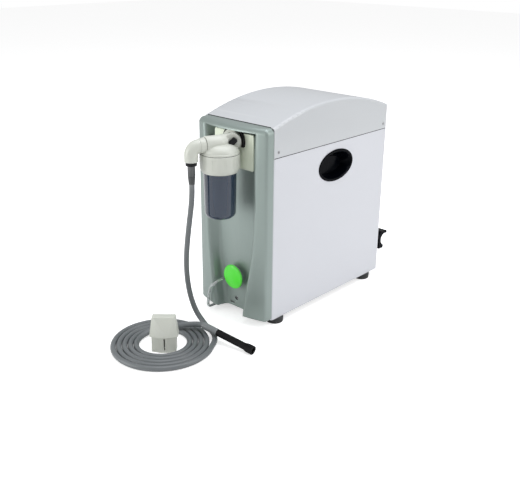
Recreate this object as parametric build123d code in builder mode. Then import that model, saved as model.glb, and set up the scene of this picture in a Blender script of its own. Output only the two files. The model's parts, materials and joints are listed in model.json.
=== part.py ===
from build123d import *
from math import atan2, cos, degrees, hypot, pi, radians, sin, tan
import os

# Surgical suction unit: a white cased vacuum pump with a moulded silver front,
# a strainer cup hanging in the front channel, a coiled suction hose and its holder.
# Millimetres, +Z up, the front faces -Y, the floor is at zero.

os.makedirs("parts", exist_ok=True)

# Case
case_width = 211.0
case_depth = 424.0
case_height = 450.0
foot_height = 16.0
seam_height = 383.0
lid_rear_height = 443.0
lid_crown = 37.0
sheet = 2.0
return_width = 14.0
case_corner = 5.0
lid_wall = 3.0
lid_corner = 6.0
lid_gap = 1.2
lid_lip_drop = 8.0
lid_lip_inset = 10.0
lid_screw_front = 16.0
lid_screw_height = 396.0
seam_groove = 0.7
tray_rim = 25.0
slip = 0.1

# Moulded front
panel_reach = 39.0
panel_side_reach = 20.0
panel_wall = 3.0
panel_round = 9.0
panel_corner = 8.0
panel_shoulder = 14.0
panel_screw_x = -3.5
panel_screw_height = 23.0
panel_screw_recess = 5.0
roof_drop = 11.0
ridge_round = 10.0
channel_round = 14.0
lip_run = 14.0
# Height above the case edge, half width at the mouth, half width at the floor
channel_steps = (
    (-2.0, 43.0, 34.0),
    (50.0, 49.0, 42.0),
    (110.0, 60.0, 50.0),
    (190.0, 71.0, 54.0),
    (280.0, 74.0, 57.0),
    (case_height - roof_drop, 77.0, 58.0),
)
floor_slot_x = -22.0
floor_slot_height = 9.0
floor_slot_length = 24.0
floor_slot_width = 4.0

# Strainer
strainer_x = 7.5
strainer_y = -64.0
strainer_drop = 38.0
tube_radius = 19.3
tube_bore = 11.0
flange_radius = 25.8
flange_thick = 6.0
gasket_radius = 26.4
gasket_thick = 6.0
flange_flat_drop = 11.0
bracket_front = -18.0
bracket_x = 4.0
bracket_width = 118.0
bracket_foot_width = 84.0
bracket_drop = 61.0
bracket_rise = 19.0
bracket_wall = 3.0
ring_drop = 19.5
ring_tall = 40.5
ring_radius = 44.0
ring_bore = 40.2
ring_lip_thick = 4.0
bowl_radius = 36.0
bowl_taper = 1.6
bowl_wall = 2.5
bowl_hang = 104.0
bowl_round = 13.0
bowl_flange_radius = 39.4
bowl_seat = 13.0
seal_thick = 1.5
screen_radius = 24.0
screen_wall = 1.5
screen_lift = 14.0
port_turn = 21.7
port_length = 34.0
elbow_radius = 14.8
elbow_collar_radius = 17.2
elbow_collar = 12.0
elbow_bend = 18.0
elbow_reach = 65.5
elbow_drop = 32.0
swivel_groove = 1.2
plug_turn = 45.0
plug_boss_radius = 17.0
plug_boss_start = 17.5
plug_boss_reach = 30.0
plug_y = -24.0
plug_rise = 6.0
plug_long = 18.0
plug_wide = 12.5
plug_proud = 8.0

# Hose
hose_radius = 6.0
hose_bore = 4.0
nut_radius = 12.2
nut_tall = 8.5
cuff_radius = 8.2
cuff_length = 50.0
cuff_taper = 18.0
coil_outer = 108.5
coil_pitch = 12.6
coil_half_turns = 9
coil_lead = 12.0
coil_exit_lead = 2.0
coil_start = 30.0
coil_x = -9.8
coil_y = -228.4

# Controls and rear fittings
button_height = 85.0
button_radius = 28.0
button_front = -25.0
button_rim = 4.5
button_dome = 4.0
button_travel = 4.0
stem_radius = 8.0
bezel_radius = 21.0
bezel_front = -10.0
grip_y = 220.0
grip_height = 328.0
grip_half_length = 64.5
grip_half_height = 38.0
grip_flange = 1.5
grip_depth = 24.0
grip_lip = 3.0
grip_wall = 2.0
foot_radius = 21.0
foot_inset = 18.0
foot_front = 31.0
foot_rear_inset = 46.0
screw_radius = 2.0
screw_head = 4.0
cleat_inset = 23.0
cleat_width = 26.0
cleat_low = 46.0
cleat_high = 93.0
cleat_standoff = 18.0
cleat_reach = 53.0
cleat_thick = 9.0
drain_radius = 3.2
drain_bore = 2.0
drain_x = -34.5
drain_height = 68.0
drain_foot_x = -64.5
drain_low = -8.0
barb_radius = 4.0

# Vacuum motor
motor_y = 232.0
damper_radius = 12.0
damper_height = 20.0
damper_spread = 62.0
plenum_size = 150.0
plenum_height = 40.0
blower_radius = 72.0
blower_height = 50.0
motor_radius = 48.0
motor_height = 86.0
shaft_radius = 4.0
bearing_gap = 0.05
duct_radius = 13.0
duct_wall = 2.0
duct_bend = 30.0
outlet_height = 120.0
outlet_radius = 16.0
outlet_bore = 13.0
outlet_reach = 22.0
inlet_inset = 55.5
inlet_height = 60.0
inlet_screw_gap = 40.0
vent_depth = 100.0
silencer_height = 100.0
silencer_clearance = 4.1
inlet_width = 27.8
relay_inset = 39.5
relay_depth = 84.0

# Derived places
foot_rear = case_depth - foot_rear_inset
lid_screw_rear = case_depth - lid_screw_front
strainer_height = case_height - strainer_drop
roof_height = case_height - roof_drop
flange_flat = strainer_height - flange_flat_drop
bracket_low = strainer_height - bracket_drop
bracket_high = strainer_height + bracket_rise
ring_high = strainer_height - ring_drop
ring_low = ring_high - ring_tall
bowl_low = ring_low - bowl_hang
bowl_rim = ring_low + bowl_seat
screen_low = bowl_low + screen_lift
elbow_low = strainer_height - elbow_drop
nut_low = elbow_low - nut_tall
cuff_low = elbow_low - cuff_length
port_x = -sin(radians(port_turn))
port_y = -cos(radians(port_turn))
elbow_x = strainer_x + elbow_reach * port_x
elbow_y = strainer_y + elbow_reach * port_y
front_reach = -elbow_y + elbow_radius
front_y = (front_reach - case_depth - cleat_reach) / 2
mid_y = front_y + case_depth / 2
rear_y = front_y + case_depth
half_width = case_width / 2
foot_x = half_width - foot_inset
cleat_x = half_width - cleat_inset
inlet_x = half_width - inlet_inset
silencer_width = 2 * (inlet_x - inlet_width / 2 - silencer_clearance)
relay_x = half_width - relay_inset
case_z = foot_height
seam_z = case_z + seam_height
plenum_z = case_z + sheet + damper_height
blower_z = plenum_z + plenum_height
motor_z = blower_z + blower_height
motor_row_y = front_y + motor_y
lid_screw_places = [(side, y) for side in (-1, 1) for y in (lid_screw_front, lid_screw_rear)]
foot_places = [
    (side * foot_x, front_y + depth)
    for depth in (foot_front, foot_rear)
    for side in (-1, 1)
]


def spot(x, y, height):
    """A point from its place across, behind the case front and above the case edge."""
    return Vector(x, front_y + y, case_z + height)


def facing_front(x, y, height):
    """A plane whose normal points out of the front."""
    return Plane(origin=spot(x, y, height), x_dir=(1, 0, 0), z_dir=(0, -1, 0))


def facing_rear(x, y, height):
    """A plane whose normal points out of the rear."""
    return Plane(origin=spot(x, y, height), x_dir=(-1, 0, 0), z_dir=(0, 1, 0))


def facing_side(side, x, y, height):
    """A plane whose normal points out of one side, with its own x along the case."""
    return Plane(origin=spot(side * x, y, height), x_dir=(0, side, 0), z_dir=(side, 0, 0))


def level(height):
    """A level plane at a height above the case edge."""
    return Plane.XY.offset(case_z + height)


def keep(builder, label):
    """Label a finished piece and write it."""
    builder.part.label = label
    export_step(builder.part, f"parts/{label}.step")


# Casing
with BuildPart() as base_tray:
    with BuildSketch(level(0)):
        with Locations((0, mid_y)):
            RectangleRounded(case_width - 2 * sheet, case_depth - 4 * sheet, case_corner - sheet)
    extrude(amount=tray_rim)
    with BuildSketch(level(sheet)):
        with Locations((0, mid_y)):
            Rectangle(case_width - 4 * sheet, case_depth - 6 * sheet)
    extrude(amount=tray_rim, mode=Mode.SUBTRACT)
    with BuildSketch(level(0)):
        with Locations(*foot_places):
            Circle(screw_radius + slip)
        with Locations((0, front_y + vent_depth)):
            with GridLocations(12, 50, 8, 1):
                SlotOverall(50, 5, rotation=90)
    extrude(amount=sheet, mode=Mode.SUBTRACT)
keep(base_tray, "base_tray")

for side, name in ((1, "right"), (-1, "left")):
    with BuildPart() as side_panel:
        with BuildSketch(level(0)) as side_outline:
            with Locations((side * (half_width - return_width / 2), mid_y)):
                Rectangle(return_width, case_depth)
            outer = side_outline.vertices().group_by(Axis.X)[-1 if side > 0 else 0]
            fillet(outer, radius=case_corner)
            with Locations((side * (half_width - sheet - return_width / 2), mid_y)):
                RectangleRounded(
                    return_width, case_depth - 2 * sheet, case_corner - sheet, mode=Mode.SUBTRACT
                )
            with Locations((side * (half_width - return_width), mid_y)):
                Rectangle(2 * sheet, case_depth - 2 * sheet, mode=Mode.SUBTRACT)
        extrude(amount=seam_height)
        with BuildSketch(facing_side(side, half_width, grip_y, grip_height)):
            Ellipse(grip_half_length - grip_lip, grip_half_height - grip_lip)
        extrude(amount=-sheet, mode=Mode.SUBTRACT)
    keep(side_panel, f"side_panel_{name}")

    with BuildPart() as grip_cup:
        with BuildSketch(facing_side(side, half_width, grip_y, grip_height)):
            Ellipse(grip_half_length, grip_half_height)
        extrude(amount=grip_flange)
        with BuildSketch(facing_side(side, half_width, grip_y, grip_height)):
            Ellipse(grip_half_length - grip_lip - slip, grip_half_height - grip_lip - slip)
        with BuildSketch(facing_side(side, half_width - grip_depth, grip_y, grip_height - 4)):
            Ellipse(grip_half_length - 5 * grip_lip, grip_half_height - 5 * grip_lip)
        loft()
        with BuildSketch(facing_side(side, half_width + grip_flange, grip_y, grip_height)):
            Ellipse(grip_half_length - 2 * grip_lip, grip_half_height - 2 * grip_lip)
        with BuildSketch(facing_side(side, half_width - grip_depth + grip_wall, grip_y, grip_height - 4)):
            Ellipse(grip_half_length - 6 * grip_lip, grip_half_height - 6 * grip_lip)
        loft(mode=Mode.SUBTRACT)
        rim = grip_cup.faces().sort_by(Axis.X)[-1 if side > 0 else 0].edges()
        fillet(rim, radius=grip_flange * 0.6)
    keep(grip_cup, f"grip_cup_{name}")

with BuildPart() as rear_panel:
    with BuildSketch(facing_rear(0, case_depth - 2 * sheet, seam_height / 2)):
        Rectangle(case_width - 2 * case_corner, seam_height)
        with Locations((0, 70)):
            with GridLocations(9, 60, 13, 2):
                SlotOverall(46, 4.5, rotation=90, mode=Mode.SUBTRACT)
        with Locations((0, outlet_height - seam_height / 2)):
            Circle(outlet_radius + slip, mode=Mode.SUBTRACT)
        with Locations((inlet_x, inlet_height - seam_height / 2)):
            RectangleRounded(28, 21, 2, mode=Mode.SUBTRACT)
            with GridLocations(inlet_screw_gap, 1, 2, 1):
                Circle(screw_radius + slip, mode=Mode.SUBTRACT)
        with Locations((-cleat_x, (cleat_low + cleat_high) / 2 - seam_height / 2)):
            with GridLocations(1, 24, 1, 2):
                Circle(screw_radius + slip, mode=Mode.SUBTRACT)
    extrude(amount=sheet)
keep(rear_panel, "rear_panel")

with BuildPart() as front_bulkhead:
    plate_high = case_height - lid_wall - 1
    with BuildSketch(facing_front(0, 2 * sheet, plate_high / 2)):
        Rectangle(case_width - 2 * case_corner, plate_high)
        with Locations((0, seam_height / 2)):
            Rectangle(case_width - 2 * lid_wall - 2 * slip, plate_high - seam_height)
        with Locations((strainer_x, strainer_height - plate_high / 2)):
            Circle(duct_radius + slip, mode=Mode.SUBTRACT)
        with Locations((0, button_height - plate_high / 2)):
            Circle(stem_radius + 1, mode=Mode.SUBTRACT)
        with Locations((drain_x, drain_height - plate_high / 2)):
            Circle(drain_radius, mode=Mode.SUBTRACT)
        with Locations((panel_screw_x, panel_screw_height - plate_high / 2)):
            Circle(screw_radius + slip, mode=Mode.SUBTRACT)
    extrude(amount=sheet)
    upper = front_bulkhead.edges().filter_by(Axis.Y).group_by(Axis.Z)[-1]
    fillet(upper, radius=lid_corner)
    tab_x = half_width - lid_wall - slip - sheet / 2
    with Locations(spot(tab_x, 14, lid_screw_height), spot(-tab_x, 14, lid_screw_height)):
        Box(sheet, 20, 14)
    for side in (-1, 1):
        with BuildSketch(facing_side(side, half_width - lid_wall - slip, lid_screw_front, lid_screw_height)):
            Circle(screw_radius + slip)
        extrude(amount=-sheet, mode=Mode.SUBTRACT)
keep(front_bulkhead, "front_bulkhead")

with BuildPart() as lid_brackets:
    for side in (-1, 1):
        with BuildSketch(facing_rear(0, lid_screw_rear + 7, 0)):
            pad_x = -side * (half_width - sheet - lid_wall / 2 - slip / 2)
            with Locations((pad_x, seam_height - 10)):
                Rectangle(lid_wall - slip, 18)
            with Locations((-side * (half_width - lid_wall - slip - sheet / 2), seam_height + 8)):
                Rectangle(sheet, 24)
        extrude(amount=-14)
        with BuildSketch(facing_side(side, half_width - lid_wall - slip, lid_screw_rear, lid_screw_height)):
            Circle(screw_radius + slip)
        extrude(amount=-sheet, mode=Mode.SUBTRACT)
keep(lid_brackets, "lid_brackets")

# The cover's back runs in one shallow arc from the front edge to the rear edge.
with BuildPart() as top_cover:
    with BuildSketch(Plane(origin=(-half_width, 0, 0), x_dir=(0, 1, 0), z_dir=(1, 0, 0))):
        with BuildLine():
            front_top = (front_y + lid_gap, case_z + case_height)
            rear_top = (rear_y, case_z + lid_rear_height)
            crown_z = case_z + (case_height + lid_rear_height) / 2 + lid_crown
            ThreePointArc(front_top, (mid_y, crown_z), rear_top)
            Polyline(rear_top, (rear_y, seam_z), (front_y + lid_gap, seam_z), front_top)
        make_face()
    extrude(amount=case_width)
    long_edges = top_cover.edges().filter_by(GeomType.CIRCLE)
    rear_edges = top_cover.edges().filter_by(Axis.Z).group_by(Axis.Y)[-1]
    fillet(long_edges + rear_edges, radius=lid_corner)
    seam_edges = top_cover.faces().sort_by(Axis.Z)[0].edges().filter_by(Axis.Y)
    chamfer(seam_edges, length=seam_groove)
    with BuildSketch(Plane(origin=(-half_width + lid_wall, 0, 0), x_dir=(0, 1, 0), z_dir=(1, 0, 0))):
        with BuildLine():
            inner_front = (front_y - 1, case_z + case_height - lid_wall)
            inner_rear = (rear_y - lid_wall, case_z + lid_rear_height - lid_wall)
            ThreePointArc(inner_front, (mid_y, crown_z - lid_wall), inner_rear)
            Polyline(inner_rear, (rear_y - lid_wall, seam_z - 1), (front_y - 1, seam_z - 1), inner_front)
        make_face()
    extrude(amount=case_width - 2 * lid_wall, mode=Mode.SUBTRACT)
    lip_x = half_width - sheet - slip - lid_wall / 2
    lip_high = 2 * lid_lip_drop
    with Locations((lip_x, mid_y, seam_z), (-lip_x, mid_y, seam_z)):
        Box(lid_wall, case_depth - 2 * lid_lip_inset - 40, lip_high)
    for side, screw_y in lid_screw_places:
        with BuildSketch(facing_side(side, half_width, screw_y, lid_screw_height)):
            Circle(screw_head)
        extrude(amount=-1.6, taper=30, mode=Mode.SUBTRACT)
        with BuildSketch(facing_side(side, half_width, screw_y, lid_screw_height)):
            Circle(screw_radius + slip)
        extrude(amount=-lid_wall, mode=Mode.SUBTRACT)
keep(top_cover, "top_cover")


# Moulded front panel: its face bows forward and a scooped channel runs down it
def face_depth(x):
    """Depth of the bowed face at a distance across."""
    return front_y - panel_reach + (panel_reach - panel_side_reach) * (x / half_width) ** 2


def bowed_block(inset, low, high):
    """The panel's outer block, drawn in by a wall, between two heights."""
    edge = half_width - inset
    with BuildPart() as block:
        with BuildSketch(level(low)) as plan:
            with BuildLine():
                ThreePointArc(
                    (-edge, front_y - panel_side_reach + inset),
                    (0, front_y - panel_reach + inset),
                    (edge, front_y - panel_side_reach + inset),
                )
                Polyline(
                    (edge, front_y - panel_side_reach + inset),
                    (edge, front_y + inset / panel_wall),
                    (-edge, front_y + inset / panel_wall),
                    (-edge, front_y - panel_side_reach + inset),
                )
            make_face()
            fillet(plan.vertices().group_by(Axis.Y)[0], radius=panel_corner - inset)
        extrude(amount=high - low)
        shoulders = block.edges().filter_by(Axis.Y).group_by(Axis.Z)[-1]
        fillet(shoulders, radius=panel_shoulder - inset)
    return block.part


def channel_section(step, wall):
    """One level slice of the scooped channel, grown by a wall on its material side."""
    height, half_mouth, half_floor = step
    mouth = half_mouth + wall
    bottom = half_floor + wall
    floor_depth = front_y - panel_wall + wall
    mouth_depth = face_depth(half_mouth) + 1.0 + wall
    lip_depth = mouth_depth + face_depth(half_mouth + lip_run) - face_depth(half_mouth) - 2.5
    clear_depth = front_y - panel_reach - 20.0
    with BuildSketch(level(height)) as section:
        with BuildLine():
            FilletPolyline(
                (-mouth - lip_run, lip_depth),
                (-mouth, mouth_depth),
                (-bottom, floor_depth),
                (bottom, floor_depth),
                (mouth, mouth_depth),
                (mouth + lip_run, lip_depth),
                radius=(ridge_round - wall, channel_round + wall, channel_round + wall, ridge_round - wall),
            )
            Polyline(
                (mouth + lip_run, lip_depth),
                (mouth + lip_run, clear_depth),
                (-mouth - lip_run, clear_depth),
                (-mouth - lip_run, lip_depth),
            )
        make_face()
    return section.sketch


channel_air = [channel_section(step, 0.0) for step in channel_steps]
roof_step = (roof_height + panel_wall,) + channel_steps[-1][1:]
channel_skin = [channel_section(step, panel_wall) for step in channel_steps[:-1] + (roof_step,)]

with BuildPart() as panel_core:
    add(bowed_block(panel_wall, panel_wall, case_height - panel_wall))
    front_face = panel_core.faces().sort_by(Axis.Y)[0]
    fillet(front_face.edges().filter_by(GeomType.CIRCLE), radius=panel_round - panel_wall)
    loft(channel_skin, mode=Mode.SUBTRACT)

with BuildPart() as front_panel:
    add(bowed_block(0, 0, case_height))
    front_face = front_panel.faces().sort_by(Axis.Y)[0]
    fillet(front_face.edges().filter_by(GeomType.CIRCLE), radius=panel_round)
    loft(channel_air, mode=Mode.SUBTRACT)
    add(panel_core.part, mode=Mode.SUBTRACT)
    with BuildSketch(facing_front(0, 0, 0)):
        with Locations((0, button_height)):
            Circle(stem_radius + 1)
        with Locations((strainer_x, strainer_height)):
            Circle(duct_radius + slip)
        with Locations((panel_screw_x, panel_screw_height)):
            Circle(panel_screw_recess)
        with Locations((floor_slot_x, floor_slot_height)):
            SlotOverall(floor_slot_length, floor_slot_width)
    extrude(amount=panel_wall, mode=Mode.SUBTRACT)
    with BuildSketch(facing_front(drain_x, 0, drain_height)):
        Circle(barb_radius + slip)
    extrude(amount=4 * panel_wall, mode=Mode.SUBTRACT)
keep(front_panel, "front_panel")

# Feet and fasteners
foot_names = ("front_left", "front_right", "rear_left", "rear_right")
for (foot_px, foot_py), name in zip(foot_places, foot_names):
    with BuildPart() as foot:
        with BuildSketch(Plane.XZ.offset(-foot_py)):
            with BuildLine():
                Polyline(
                    (foot_px + screw_radius + slip, foot_height),
                    (foot_px + foot_radius, foot_height),
                    (foot_px + foot_radius, foot_height - 5),
                    (foot_px + foot_radius - 0.7, 1.2),
                    (foot_px + foot_radius - 1.5, 0),
                    (foot_px + screw_head + 2, 0),
                    (foot_px + screw_head + 2, 6),
                    (foot_px + screw_radius + slip, 6),
                    (foot_px + screw_radius + slip, foot_height),
                )
            make_face()
        revolve(axis=Axis((foot_px, foot_py, 0), (0, 0, 1)))
    keep(foot, f"foot_{name}")

with BuildPart() as foot_screws:
    with BuildSketch(Plane.XY.offset(3)):
        with Locations(*foot_places):
            Circle(screw_head)
    extrude(amount=3)
    with BuildSketch(Plane.XY.offset(6)):
        with Locations(*foot_places):
            Circle(screw_radius)
    extrude(amount=foot_height + sheet - 6 + 4)
keep(foot_screws, "foot_screws")

with BuildPart() as lid_screws:
    for side, screw_y in lid_screw_places:
        with BuildSketch(facing_side(side, half_width - 0.2, screw_y, lid_screw_height)):
            Circle(screw_head - 0.3)
        extrude(amount=-1.4, taper=30)
        with BuildSketch(facing_side(side, half_width - 0.2, screw_y, lid_screw_height)):
            Circle(screw_radius)
        extrude(amount=-lid_wall - sheet - 3)
keep(lid_screws, "lid_screws")

with BuildPart() as panel_screw:
    with BuildSketch(facing_front(panel_screw_x, sheet, panel_screw_height)):
        Circle(screw_head)
    extrude(amount=2.4)
    with BuildSketch(facing_front(panel_screw_x, 2 * sheet, panel_screw_height)):
        Circle(screw_radius)
    extrude(amount=sheet)
keep(panel_screw, "panel_screw")

# Strainer bracket: a flat face on two side walls with feet on the channel floor
with BuildPart() as filter_bracket:
    bracket_mid = (bracket_low + bracket_high) / 2
    bracket_tall = bracket_high - bracket_low
    with BuildSketch(facing_front(bracket_x, bracket_front + bracket_wall, bracket_mid)):
        RectangleRounded(bracket_width, bracket_tall, 4)
    extrude(amount=bracket_wall)
    outer_rim = filter_bracket.faces().sort_by(Axis.Y)[0].edges()
    fillet(outer_rim, radius=1.2)
    wall_depth = -bracket_front - bracket_wall - panel_wall
    with BuildSketch(facing_front(bracket_x, -panel_wall, bracket_mid)):
        Rectangle(bracket_foot_width, bracket_tall - 8)
        Rectangle(
            bracket_foot_width - 2 * bracket_wall, bracket_tall - 8 - 2 * bracket_wall, mode=Mode.SUBTRACT
        )
    extrude(amount=wall_depth)
    with BuildSketch(facing_front(0, 0, 0)):
        with Locations((strainer_x, strainer_height)):
            Circle(duct_radius + slip)
    extrude(amount=-bracket_front + 1, mode=Mode.SUBTRACT)
keep(filter_bracket, "filter_bracket")

with BuildPart() as flange_gasket:
    with BuildSketch(facing_front(strainer_x, bracket_front, strainer_height)):
        Circle(gasket_radius)
        Circle(duct_radius + slip, mode=Mode.SUBTRACT)
        with Locations((0, flange_flat - strainer_height - gasket_radius)):
            Rectangle(3 * gasket_radius, 2 * gasket_radius, mode=Mode.SUBTRACT)
    extrude(amount=gasket_thick)
keep(flange_gasket, "flange_gasket")

# Strainer head: a thick level tube that turns at the middle, on a domed cap
head_axis = Axis((strainer_x, front_y + strainer_y, 0), (0, 0, 1))
port_plane = Plane(origin=spot(strainer_x, strainer_y, strainer_height), z_dir=(port_x, port_y, 0))
port_end = Plane(
    origin=spot(strainer_x + port_length * port_x, strainer_y + port_length * port_y, strainer_height),
    z_dir=(port_x, port_y, 0),
)
plug_way = Vector(sin(radians(plug_turn)), -cos(radians(plug_turn)), 0)
plug_plane = Plane(
    origin=spot(strainer_x, plug_y, strainer_height + plug_rise), x_dir=(0, 0, 1), z_dir=plug_way
)
flange_y = bracket_front - gasket_thick
skirt_radius = ring_bore - 0.2
with BuildPart() as filter_head:
    with BuildSketch(Plane.XZ.offset(-front_y - strainer_y)):
        with BuildLine():
            dome_base = (strainer_x + ring_radius - 2, case_z + ring_high + 5)
            dome_top = (strainer_x + tube_radius - 1, case_z + strainer_height + 2)
            Polyline(
                dome_top,
                (strainer_x, case_z + strainer_height + 2),
                (strainer_x, case_z + bowl_rim + seal_thick),
                (strainer_x + skirt_radius, case_z + bowl_rim + seal_thick),
                (strainer_x + skirt_radius, case_z + ring_high),
                (strainer_x + ring_radius - 1, case_z + ring_high),
                (strainer_x + ring_radius - 1, case_z + ring_high + 4),
                dome_base,
            )
            ThreePointArc(
                dome_base,
                (strainer_x + 32, case_z + ring_high + 13),
                dome_top,
            )
        make_face()
    revolve(axis=head_axis)
    with BuildSketch(port_end):
        Circle(elbow_collar_radius + 0.8)
    extrude(amount=ring_radius - port_length + 4, mode=Mode.SUBTRACT)
    with BuildSketch(facing_front(strainer_x, flange_y, strainer_height)):
        Circle(flange_radius)
        with Locations((0, flange_flat - strainer_height - gasket_radius)):
            Rectangle(3 * gasket_radius, 2 * gasket_radius, mode=Mode.SUBTRACT)
    extrude(amount=flange_thick)
    with BuildSketch(facing_front(strainer_x, flange_y, strainer_height)):
        Circle(tube_radius)
    extrude(amount=flange_y - strainer_y)
    with BuildSketch(port_plane):
        Circle(tube_radius)
    extrude(amount=port_length - 1.5)
    with BuildSketch(port_end.offset(-1.5)):
        Circle(tube_radius)
    extrude(amount=1.5, taper=40)
    with Locations(spot(strainer_x, strainer_y, strainer_height)):
        Sphere(tube_radius - 0.1)
    with BuildSketch(plug_plane.offset(plug_boss_start)):
        Circle(plug_boss_radius)
    extrude(amount=plug_boss_reach - plug_boss_start)
    with BuildSketch(facing_rear(strainer_x, strainer_y + 8, strainer_height)):
        Circle(duct_radius - duct_wall)
    extrude(amount=-strainer_y - 8, mode=Mode.SUBTRACT)
    with BuildSketch(facing_rear(strainer_x, flange_y, strainer_height)):
        Circle(duct_radius)
        Circle(duct_radius - duct_wall, mode=Mode.SUBTRACT)
    extrude(amount=-flange_y + 2 * sheet + 18)
    with BuildSketch(port_plane.offset(10)):
        Circle(tube_bore)
    extrude(amount=port_length - 10, mode=Mode.SUBTRACT)
    with BuildSketch(level(bowl_rim + seal_thick)):
        with Locations((strainer_x, front_y + strainer_y)):
            Circle(skirt_radius - 4)
            Circle(screen_radius, mode=Mode.SUBTRACT)
    extrude(amount=ring_high - bowl_rim - 6, mode=Mode.SUBTRACT)
    with BuildSketch(level(bowl_rim + seal_thick)):
        with Locations((strainer_x, front_y + strainer_y + 12)):
            Circle(7)
        with Locations((strainer_x + 28 * port_x, front_y + strainer_y + 28 * port_y)):
            Circle(4)
    extrude(amount=strainer_height - bowl_rim - 5, mode=Mode.SUBTRACT)
    with BuildSketch(plug_plane.offset(plug_boss_reach)):
        Circle(plug_wide / 2)
    extrude(amount=-14, mode=Mode.SUBTRACT)
    with BuildSketch(plug_plane.offset(plug_boss_reach)):
        Circle(plug_long / 2 + 1)
    extrude(amount=plug_proud + 6, mode=Mode.SUBTRACT)
keep(filter_head, "filter_head")

with BuildPart() as boss_plug:
    with BuildSketch(plug_plane.offset(plug_boss_reach)):
        RectangleRounded(plug_long, plug_wide, 3.5, rotation=-45)
    extrude(amount=plug_proud)
    crown = boss_plug.faces().sort_by(Axis((0, 0, 0), plug_way))[-1]
    fillet(crown.edges(), radius=1.5)
    with BuildSketch(plug_plane.offset(plug_boss_reach)):
        Circle(plug_wide / 2 - slip)
    extrude(amount=-12)
keep(boss_plug, "boss_plug")

# Lock ring with grip ribs, bowl, seal and screen
with BuildPart() as lock_ring:
    with BuildSketch(Plane.XZ.offset(-front_y - strainer_y)):
        with BuildLine():
            ring_edge = strainer_x + ring_radius
            ring_foot = case_z + ring_low
            ring_top = case_z + ring_high - 0.3
            Polyline(
                (strainer_x + ring_bore, ring_top),
                (ring_edge - 1, ring_top),
                (ring_edge, ring_top - 1),
                (ring_edge, ring_foot + 9),
                (ring_edge - 2, ring_foot + 4),
                (ring_edge - 5, ring_foot),
                (strainer_x + bowl_radius + 0.6, ring_foot),
                (strainer_x + bowl_radius + 0.6, ring_foot + ring_lip_thick),
                (strainer_x + ring_bore, ring_foot + ring_lip_thick),
                (strainer_x + ring_bore, ring_top),
            )
        make_face()
    revolve(axis=head_axis)
    with BuildSketch(level(ring_low + 7)):
        with Locations((strainer_x, front_y + strainer_y)):
            with PolarLocations(ring_radius + 0.6, 12):
                RectangleRounded(2.4, 9, 1.1)
    extrude(amount=ring_high - ring_low - 14, mode=Mode.SUBTRACT)
keep(lock_ring, "lock_ring")

with BuildPart() as bowl:
    with BuildSketch(Plane.XZ.offset(-front_y - strainer_y)):
        with BuildLine():
            foot_r = bowl_radius - bowl_taper
            low = case_z + bowl_low
            rim = case_z + bowl_rim
            flange_low = case_z + ring_low + ring_lip_thick + 0.2
            FilletPolyline(
                (strainer_x, low),
                (strainer_x + foot_r, low),
                (strainer_x + bowl_radius, flange_low),
                (strainer_x + bowl_flange_radius, flange_low),
                (strainer_x + bowl_flange_radius, rim),
                (strainer_x + bowl_radius - bowl_wall, rim),
                (strainer_x + foot_r - bowl_wall, low + bowl_wall),
                (strainer_x, low + bowl_wall),
                radius=(bowl_round, 0, 0, 0, 0, bowl_round - bowl_wall),
            )
            Line((strainer_x, low + bowl_wall), (strainer_x, low))
        make_face()
    revolve(axis=head_axis)
keep(bowl, "bowl")

with BuildPart() as bowl_seal:
    with BuildSketch(level(bowl_rim)):
        with Locations((strainer_x, front_y + strainer_y)):
            Circle(bowl_flange_radius - 1)
            Circle(bowl_radius - bowl_wall, mode=Mode.SUBTRACT)
    extrude(amount=seal_thick - slip)
keep(bowl_seal, "bowl_seal")

with BuildPart() as filter_screen:
    screen_high = bowl_rim - screen_low - 1
    with BuildSketch(level(screen_low)):
        with Locations((strainer_x, front_y + strainer_y)):
            Circle(screen_radius)
            Circle(screen_radius - screen_wall, mode=Mode.SUBTRACT)
    extrude(amount=screen_high)
    with BuildSketch(level(screen_low)):
        with Locations((strainer_x, front_y + strainer_y)):
            Circle(screen_radius)
    extrude(amount=screen_wall)
    with BuildSketch(level(bowl_rim - 1 - screen_wall)):
        with Locations((strainer_x, front_y + strainer_y)):
            Circle(bowl_radius - bowl_wall - slip)
            Circle(screen_radius - screen_wall, mode=Mode.SUBTRACT)
    extrude(amount=screen_wall)
    with BuildSketch(level(screen_low + 10)):
        with Locations((strainer_x, front_y + strainer_y)):
            with PolarLocations(screen_radius, 12):
                Rectangle(4 * screen_wall, 5)
    extrude(amount=screen_high - 24, mode=Mode.SUBTRACT)
keep(filter_screen, "filter_screen")

# Elbow, nut and hose cuff
elbow_start = port_length + swivel_groove
elbow_top = case_z + strainer_height
with BuildPart() as hose_elbow:
    with BuildLine() as elbow_path:
        FilletPolyline(
            spot(strainer_x + elbow_start * port_x, strainer_y + elbow_start * port_y, strainer_height),
            spot(elbow_x, elbow_y, strainer_height),
            spot(elbow_x, elbow_y, elbow_low),
            radius=elbow_bend,
        )
    with BuildSketch(port_end.offset(swivel_groove)):
        Circle(elbow_radius)
    sweep(path=elbow_path.line)
    with BuildSketch(port_end.offset(swivel_groove)):
        Circle(elbow_collar_radius)
    extrude(amount=elbow_collar, taper=6)
    with BuildSketch(port_end.offset(-8)):
        Circle(tube_bore - slip)
    extrude(amount=8 + swivel_groove + 2)
    with BuildSketch(port_end.offset(-8)):
        Circle(hose_radius)
    extrude(amount=8 + swivel_groove + 6, mode=Mode.SUBTRACT)
    with BuildSketch(level(elbow_low)):
        with Locations((elbow_x, front_y + elbow_y)):
            Circle(hose_radius)
    extrude(amount=strainer_height - elbow_low, mode=Mode.SUBTRACT)
    with Locations(spot(elbow_x, elbow_y, strainer_height)):
        Sphere(hose_radius, mode=Mode.SUBTRACT)
    with BuildSketch(Plane(origin=spot(elbow_x, elbow_y, strainer_height), z_dir=(-port_x, -port_y, 0))):
        Circle(hose_radius)
    extrude(amount=elbow_reach - elbow_start + 8, mode=Mode.SUBTRACT)
keep(hose_elbow, "hose_elbow")

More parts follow.
